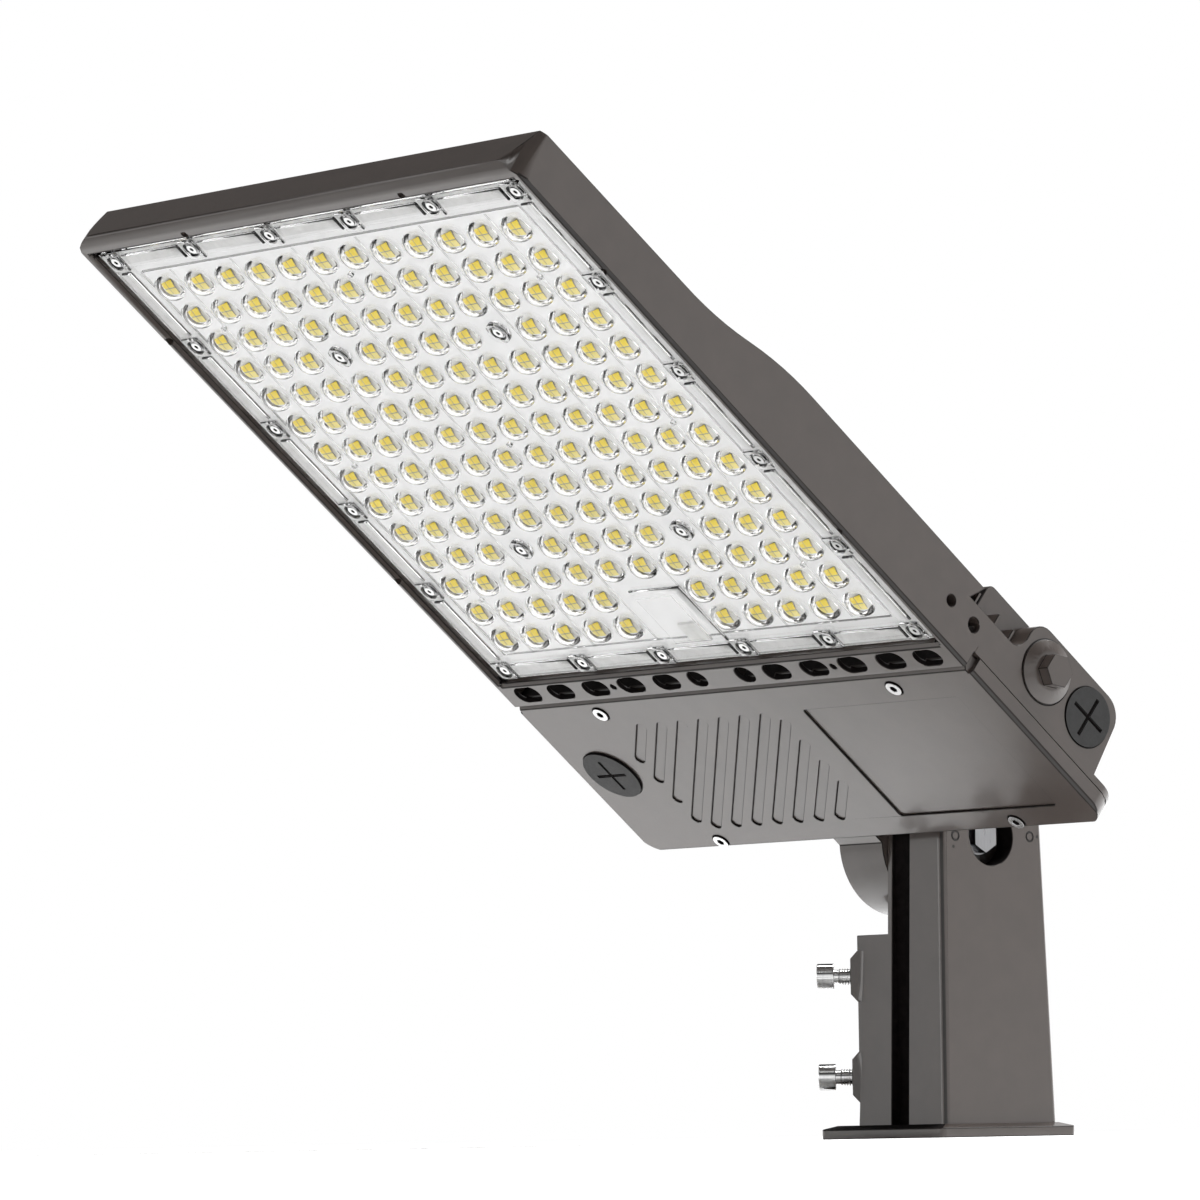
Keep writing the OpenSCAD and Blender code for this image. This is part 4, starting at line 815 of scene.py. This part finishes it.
class OpticSettings(bpy.types.PropertyGroup):
    dome_x: FloatProperty(name="Dome across", description="Half width of a dome, in millimetres", default=10.6)
    dome_y: FloatProperty(name="Dome along", description="Half length of a dome, in millimetres", default=9.3)
    dome_h: FloatProperty(name="Dome height", description="Height of a dome, in millimetres", default=6.0)
    cave_r: FloatProperty(name="Hollow radius", description="Radius of the hollow over a chip, in millimetres",
                          default=6.2)
    cave_h: FloatProperty(name="Hollow height", description="Height of the hollow over a chip, in millimetres",
                          default=4.8)
    bar: FloatProperty(name="Bar half width", description="Half width of the bars between the bosses, in millimetres",
                       default=5.0)
    shift_x: FloatProperty(name="Chip offset across", description="Offset of a chip from its dome, in millimetres",
                           default=-2.5)
    shift_y: FloatProperty(name="Chip offset along", description="Offset of a chip from its dome, in millimetres",
                           default=1.5)
    far_tone: FloatVectorProperty(name="Far chips", description="Colour of the far chips", subtype="COLOR",
                                  default=(1.0, 0.76, 0.01), min=0, max=1)
    near_tone: FloatVectorProperty(name="Near chips", description="Colour of the near chips", subtype="COLOR",
                                   default=(1.0, 0.86, 0.27), min=0, max=1)


class ScrewSettings(bpy.types.PropertyGroup):
    clamp_r: FloatProperty(name="Clamp screw radius", description="Radius over the thread, in millimetres", default=5)
    clamp_head_r: FloatProperty(name="Clamp head radius", description="Radius of the round head, in millimetres",
                                default=8)
    clamp_head_h: FloatProperty(name="Clamp head height", description="Height of the head, in millimetres", default=10)
    clamp_key: FloatProperty(name="Clamp key", description="Width of the hexagon socket, in millimetres", default=8)


class StageSettings(bpy.types.PropertyGroup):
    top_power: FloatProperty(name="Top light", description="Power of the top softbox, in watts", unit="POWER",
                             default=345)
    front_power: FloatProperty(name="Front light", description="Power of the front softbox, in watts",
                               unit="POWER", default=8)
    sky: FloatProperty(name="Sky", description="Strength of the surrounding light", default=0.12)


# Pieces

class LIGHT_OT_stage(bpy.types.Operator):
    """Floor, surrounding light, softboxes and the camera"""
    bl_idname = "area_light.stage"
    bl_label = "Stage"

    def execute(self, context):
        scene = context.scene
        scene.view_settings.view_transform = "Standard"
        s = scene.area_light_stage
        self.camera(scene)
        self.floor()
        self.world(scene, s.sky)
        for name, power, place, size in SOFTBOXES:
            lamp = bpy.data.lights.new(name, "AREA")
            lamp.size, lamp.energy = size, getattr(s, power)
            o = bpy.data.objects.new(name, lamp)
            scene.collection.objects.link(o)
            o.location = place
            o.rotation_euler = (AIM - Vector(place)).to_track_quat("-Z", "Y").to_euler()
        return {"FINISHED"}

    def camera(self, scene):
        """The photo's view, with the eye raised to just above the floor."""
        eye, right = Vector(EYE), Vector(RIGHT)
        target = eye + Vector(VIEW).normalized() * EYE_DISTANCE
        eye.z = EYE_HEIGHT
        view = (target - eye).normalized()
        up = right.cross(view).normalized()
        right = view.cross(up).normalized()
        camera = bpy.data.cameras.new("camera")
        camera.lens, camera.sensor_width = FOCAL_LENGTH, SENSOR_WIDTH
        camera.clip_start, camera.clip_end = CLIP
        holder = bpy.data.objects.new("camera", camera)
        scene.collection.objects.link(holder)
        holder.matrix_world = Matrix.Translation(eye) @ Matrix((right, up, -view)).transposed().to_4x4()
        scene.camera = holder

    def floor(self):
        """Pale floor that keeps the shadow and looks white away from the light."""
        alone()
        bpy.ops.mesh.primitive_circle_add(vertices=96, radius=FLOOR_R, fill_type="NGON",
                                          location=(0, 0, -FLOOR_DROP))
        floor = named("floor")
        m = Shader("pale floor", (0.86, 0.86, 0.86), 0.6)
        m.set("Base Color", m.ramp(m.noise(2), [(0.3, (0.85, 0.85, 0.85)), (0.7, (0.87, 0.87, 0.87))]))
        away = m.node("ShaderNodeVectorMath", {"operation": "LENGTH"}, {0: m.coords()}).outputs["Value"]
        rise = m.ramp(Wire(m, away) * 0.5, [(0.25, (0.35, 0.35, 0.35)), (1, WHITE)])
        glow = m.node("ShaderNodeEmission", None, {"Color": rise, "Strength": 1.0})
        lit = m.node("ShaderNodeAddShader", None, {0: m.bsdf.outputs[0], 1: glow.outputs[0]})
        m.surface(m.shift(m.any_ray("Camera"), m.bsdf, lit))
        paint(floor, m.material)

    def world(self, scene, sky):
        """Surrounding light, white where it is seen at eye level and dimmer overhead."""
        scene.world = bpy.data.worlds.new("studio")
        scene.world.use_nodes = True
        t = Tree(scene.world.node_tree)
        t.nodes.clear()
        dim = t.node("ShaderNodeBackground", None, {"Color": (*WHITE, 1), "Strength": sky})
        around = t.node("ShaderNodeTexCoord").outputs["Generated"]
        height = t.node("ShaderNodeSeparateXYZ", None, {"Vector": around}).outputs["Z"]
        tone = t.ramp(height, [(0.2, WHITE), (0.5, (0.06, 0.06, 0.06))])
        white = t.node("ShaderNodeBackground", None, {"Color": tone, "Strength": 1})
        out = t.node("ShaderNodeOutputWorld")
        t.feed(out.inputs[0], t.shift(t.any_ray("Camera", "Glossy", "Transmission"), dim, white))


class LIGHT_OT_castings(bpy.types.Operator):
    """Painted castings: arm, head, knuckle and driver cover, with painted shade on their edges, creases and slots"""
    bl_idname = "area_light.castings"
    bl_label = "Painted castings"

    def execute(self, context):
        s = context.scene.area_light_paint
        bronze = tuple(s.bronze)
        # Painted shade: a darker colour on the rounded edges, shade in the creases, black in slots, bores and gaps
        edge = edge_painted_shade("shaded edge", bronze)
        arm = powder_coat("arm powder coat", bronze, arm_painted_shade)
        head = powder_coat("head powder coat", bronze, head_painted_shade, tray)
        plain = powder_coat("bronze powder coat", bronze)
        black = painted_shade_black("slot black")
        dressed("arm_casting", (arm, edge, black), "arm", s.edge, sharp_on_arm, None, painted_shade_on_arm)
        dressed("housing", (head, edge, black), "head", s.edge, sharp_on_head, far_lip,
                painted_shade_on_head)
        dressed("driver_cover", (head, edge, black), "head", s.edge, sharp_on_head, None,
                painted_shade_on_head)
        dressed("knuckle", (plain, edge), "head", s.edge)
        return {"FINISHED"}


class LIGHT_OT_optics(bpy.types.Operator):
    """Clear optic plate with its domes, bosses, bars, pegs and window"""
    bl_idname = "area_light.optics"
    bl_label = "Optic plate"

    def execute(self, context):
        s = context.scene.area_light_optic
        plate = box("plate", -LENS_X, LENS_X, GRID_Y - LENS_Y, GRID_Y + LENS_Y, LENS_FRONT, LENS_BACK)
        rim = box("rim", -LENS_X, LENS_X, GRID_Y - LENS_Y, GRID_Y + LENS_Y, LENS_FRONT + SINK, RIM_BACK)
        cut(rim, box("hole", -BOARD_X - BOARD_PLAY, BOARD_X + BOARD_PLAY, GRID_Y - BOARD_Y - BOARD_PLAY,
                     GRID_Y + BOARD_Y + BOARD_PLAY, 0, BEYOND))
        add(plate, rim)
        half = BOSS_W / 2
        boss = rounded(box("boss", -half, half, -half, half, BOSS_FRONT, LENS_FRONT + SINK), BOSS_EDGE)
        add(plate, copies(boss, EDGE_PLACES))
        rings = copies(rod("ring", 0, LENS_FRONT + DEEP_SINK, RING_R), PLATE_SCREWS)
        post = rounded(rod("post", BOSS_FRONT, BOARD_FRONT, POST_R), POST_EDGE)
        add(plate, copies(post, CENTRE_PLACES))
        add(plate, rounded(self.bars(s.bar), BAR_EDGE, 4))
        peg = rounded(rod("peg", PEG_FRONT, LENS_FRONT + SINK, PEG_R, 16), PEG_EDGE)
        add(plate, copies(peg, [grid(*p) for p in PEGS]))
        pad = box("pad", *PAD_X, GRID_Y + PAD_Y[0], GRID_Y + PAD_Y[1], PAD_FRONT, LENS_FRONT + SINK)
        add(plate, rounded(pad, PAD_EDGE, 3))
        # Domes and their hollows
        dome = ball("dome", 20, 14, (0, 0, LENS_FRONT + DEEP_SINK), (s.dome_x, s.dome_y, s.dome_h + DEEP_SINK))
        cut(dome, box("low", -DOME_ROOM, DOME_ROOM, -DOME_ROOM, DOME_ROOM, LENS_FRONT + DOME_TRIM, DOME_ROOM))
        add(plate, copies(dome, OPTICS))
        cave = ball("cave", 16, 10, (s.shift_x * CAVE_SHARE, s.shift_y * CAVE_SHARE, LENS_BACK),
                    (s.cave_r, s.cave_r, s.cave_h))
        cut(plate, copies(cave, OPTICS))
        # Screw recesses and holes, window recess and seam grooves
        cut(plate, rings)
        cut(plate, copies(rod("shank", -1, BEYOND, SHANK_R, 20), PLATE_SCREWS))
        cut(plate, box("recess", *RECESS_X, GRID_Y + RECESS_Y[0], GRID_Y + RECESS_Y[1], 0, RECESS_BACK))
        cut(plate, joined(*self.seams()))
        smooth(plate, MADE_SHADE)
        finish(plate, "optic_plate", clear_plastic("clear optic", 0.02), "head",
               ("lens_plate",), on_head=True)
        return {"FINISHED"}

    def bars(self, half):
        """The bars between the bosses of the edge screws."""
        bars = []
        step_y, step_x = SCREW_Y / HALF_STEPS, SCREW_X / HALF_STEPS
        back, less = LENS_BACK - BAR_SHORT, BOSS_W + 2 * BAR_GAP
        for k in range(5):
            for side in (-1, 1):
                y0 = GRID_Y - SCREW_Y + k * step_y + BOSS_W / 2 + BAR_GAP
                bars.append(box("bar", side * SCREW_X - half, side * SCREW_X + half, y0, y0 + step_y - less,
                                BAR_FRONT, back))
                x0 = -SCREW_X + k * step_x + BOSS_W / 2 + BAR_GAP
                bars.append(box("bar", x0, x0 + step_x - less, GRID_Y + side * SCREW_Y - half,
                                GRID_Y + side * SCREW_Y + half, BAR_FRONT, back))
        return joined(*bars)

    def seams(self):
        """Pairs of fine grooves where the lens blocks meet."""
        for c in SEAMS:
            for offset in (-SEAM_OFFSET, SEAM_OFFSET):
                x = grid(c, 0)[0] + offset
                yield box("groove", x - SEAM_HALF, x + SEAM_HALF, GRID_Y - BOARD_Y, GRID_Y + BOARD_Y, *SEAM_Z)


class LIGHT_OT_board(bpy.types.Operator):
    """Light board, chip packages, phosphor squares, connector and gasket"""
    bl_idname = "area_light.board"
    bl_label = "Light board"

    def execute(self, context):
        s = context.scene.area_light_optic
        repaint(white_mask("white solder mask", (0.96, 0.96, 0.96)), "led_board")
        repaint(moulded("package body", (0.30, 0.30, 0.31), 0.5, 900), "led_packages")
        die = box("die", -DIE_HALF, DIE_HALF, -DIE_HALF, DIE_HALF, *DIE_Z)
        rounded(die, DIE_EDGE, 1)
        four = copies(die, [(s.shift_x + a * DIE_OFFSET, s.shift_y + b * DIE_OFFSET)
                            for a in (-1, 1) for b in (-1, 1)])
        finish(copies(four, OPTICS), "phosphor_squares",
               phosphor("phosphor", tuple(s.far_tone), tuple(s.near_tone), s.shift_y), "head",
               on_head=True)
        repaint(moulded("white connector", (0.8, 0.8, 0.78), 0.4, 500), "board_connector")
        repaint(moulded("lens gasket", (0.62, 0.62, 0.61), 0.6, 500), "lens_gasket")
        return {"FINISHED"}


class LIGHT_OT_screws(bpy.types.Operator):
    """Edge, centre and cover screws, with painted shade in their recesses and black rings of painted shade round the
    plate's screws
    """
    bl_idname = "area_light.screws"
    bl_label = "Head screws"

    def execute(self, context):
        # Painted shade, black, on the floors of the screws' recesses
        zinc = bright_metal("bright zinc", (0.80, 0.80, 0.80), 0.24, 700, screw_recess_shade)
        black = painted_shade_black("recess black")
        for node in ("lens_screws", "centre_screws", "cover_screws"):
            dressed(node, (zinc, zinc, black), "head", SMALL_EDGE, deep=painted_shade_on_screws)
        # Black rings round the screws of the optic plate, painted shade in their recesses
        alone()
        bpy.ops.mesh.primitive_torus_add(major_radius=SHADE_RING_R * MM, minor_radius=SHADE_RING_THICK * MM, major_segments=24,
                                         minor_segments=8, location=(0, 0, LENS_FRONT * MM))
        shade_rings = copies(named("seal"), PLATE_SCREWS)
        smooth(shade_rings, TURNED)
        finish(shade_rings, "screw_seals", moulded("seal ring", (0.012, 0.012, 0.012), 0.5, 600), "head",
               on_head=True)
        return {"FINISHED"}


class LIGHT_OT_plugs(bpy.types.Operator):
    """Sensor plug, side plugs and their seal rings"""
    bl_idname = "area_light.plugs"
    bl_label = "Plugs"

    def execute(self, context):
        colour = tuple(context.scene.area_light_paint.plug)
        # Painted shade, black, in the plugs' cross slots
        plastic = moulded("plug plastic", colour, 0.6, 700, plug_cross_shade)
        black = painted_shade_black("cross black")
        for node in ("sensor_plug", "side_plugs"):
            dressed(node, (plastic, plastic, black), "head", SMALL_EDGE, deep=painted_shade_on_plugs)
        repaint(moulded("seal rubber", (0.03, 0.03, 0.03), 0.7, 600), "plug_seals", "cover_gasket",
                "knuckle_gasket", "lead_grommet", "pivot_seal")
        repaint(moulded("nut plastic", colour, 0.6, 600), "sensor_plug_nut", "breather_vent")
        return {"FINISHED"}


class LIGHT_OT_clamp_screws(bpy.types.Operator):
    """Socket head clamp screws with their threads"""
    bl_idname = "area_light.clamp_screws"
    bl_label = "Clamp screws"

    def execute(self, context):
        s = context.scene.area_light_screw
        chrome = bright_metal("polished zinc", (0.80, 0.80, 0.80), 0.1, 500)
        for node, body, height in CLAMPS:
            shank = rod("shank", CLAMP_START, CLAMP_HEAD + CLAMP_SINK, s.clamp_r - THREAD_DEPTH)
            ridge = rod("ridge", CLAMP_START + THREAD_FROM, CLAMP_START + THREAD_TO, s.clamp_r)
            rounded(ridge, THREAD_EDGE, 1, TURNED)
            row = ridge.modifiers.new("row", "ARRAY")
            row.use_relative_offset, row.use_constant_offset = False, True
            row.constant_offset_displace = (0, 0, THREAD_PITCH * MM)
            row.count = int((CLAMP_HEAD - CLAMP_START - THREAD_REST) / THREAD_PITCH)
            add(shank, apply(ridge, row))
            top, corner = CLAMP_HEAD + s.clamp_head_h, s.clamp_key / math.sqrt(3)
            head = rod("cap", CLAMP_HEAD, top, s.clamp_head_r, 64)
            rounded(head, CAP_EDGE, 3, TURNED)
            cut(head, rod("key", CLAMP_HEAD + s.clamp_head_h / 2, CLAMP_HEAD + KEY_BEYOND, corner, 6))
            cut(head, rod("mouth", top - KEY_MOUTH, CLAMP_HEAD + KEY_BEYOND, corner))
            add(shank, head)
            shank.matrix_world = (Matrix.Translation((0, 0, height * MM))
                                  @ Matrix.Rotation(math.radians(CLAMP_TURN), 4, "Z")
                                  @ Matrix.Rotation(math.radians(90), 4, "Y"))
            settle(shank)
            smooth(shank, MADE_SHADE, True)
            finish(shank, node + "_piece", chrome, body, (node,))
        return {"FINISHED"}


class LIGHT_OT_bolts(bpy.types.Operator):
    """Side bolts, pivot bolt, washers and nuts"""
    bl_idname = "area_light.bolts"
    bl_label = "Bolts"

    def execute(self, context):
        bronze = tuple(context.scene.area_light_paint.bronze)
        coat = powder_coat("bolt finish", bronze)
        zinc = bright_metal("bolt zinc", (0.34, 0.34, 0.35), 0.3, 500)
        # The side bolts' rounded edges get painted shade
        dressed("side_bolts", (coat, edge_painted_shade("bolt edge", bronze)), "head", BOLT_EDGE)
        for node in ("pivot_bolt", "pivot_washers", "pivot_nut"):
            dressed(node, (zinc,), "arm", BOLT_EDGE)
        repaint(zinc, "side_bolt_nuts", "knuckle_screws")
        return {"FINISHED"}


class LIGHT_OT_inside(bpy.types.Operator):
    """Driver, surge protector, terminal block and leads inside the head"""
    bl_idname = "area_light.inside"
    bl_label = "Inside"

    def execute(self, context):
        repaint(bright_metal("tray screws", (0.75, 0.75, 0.75), 0.3, 500), "driver_screws", "surge_clip",
                "terminal_screws", "earth_screw")
        repaint(bright_metal("driver case", (0.70, 0.71, 0.71), 0.4, 200), "led_driver")
        repaint(moulded("surge box", (0.02, 0.02, 0.025), 0.4, 400), "surge_protector")
        repaint(moulded("terminal block", (0.75, 0.75, 0.72), 0.45, 400), "terminal_block")
        repaint(moulded("lead sleeve", (0.5, 0.02, 0.015), 0.45, 400), "output_leads")
        return {"FINISHED"}


class LIGHT_PT_panel(bpy.types.Panel):
    """Lists the pieces of the area light"""
    bl_idname = "LIGHT_PT_panel"
    bl_label = "Area light"
    bl_space_type = "VIEW_3D"
    bl_region_type = "UI"
    bl_category = "Area light"

    def draw(self, context):
        scene = context.scene
        for name, group in GROUPS.items():
            for key in group.__annotations__:
                self.layout.prop(getattr(scene, name), key)
        for operator in OPERATORS:
            self.layout.operator(operator.bl_idname)


OPERATORS = (LIGHT_OT_stage, LIGHT_OT_castings, LIGHT_OT_optics, LIGHT_OT_board, LIGHT_OT_screws, LIGHT_OT_plugs,
             LIGHT_OT_clamp_screws, LIGHT_OT_bolts, LIGHT_OT_inside)
GROUPS = {"area_light_paint": PaintSettings, "area_light_optic": OpticSettings, "area_light_screw": ScrewSettings,
          "area_light_stage": StageSettings}


def register():
    for c in (*GROUPS.values(), *OPERATORS, LIGHT_PT_panel):
        bpy.utils.register_class(c)
    for key, group in GROUPS.items():
        setattr(bpy.types.Scene, key, PointerProperty(type=group))


def unregister():
    for key in GROUPS:
        delattr(bpy.types.Scene, key)
    for c in reversed((*GROUPS.values(), *OPERATORS, LIGHT_PT_panel)):
        bpy.utils.unregister_class(c)


def main():
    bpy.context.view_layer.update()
    register()
    for operator in OPERATORS:
        family, call = operator.bl_idname.split(".")
        getattr(getattr(bpy.ops, family), call)()


if __name__ == "__main__":
    main()
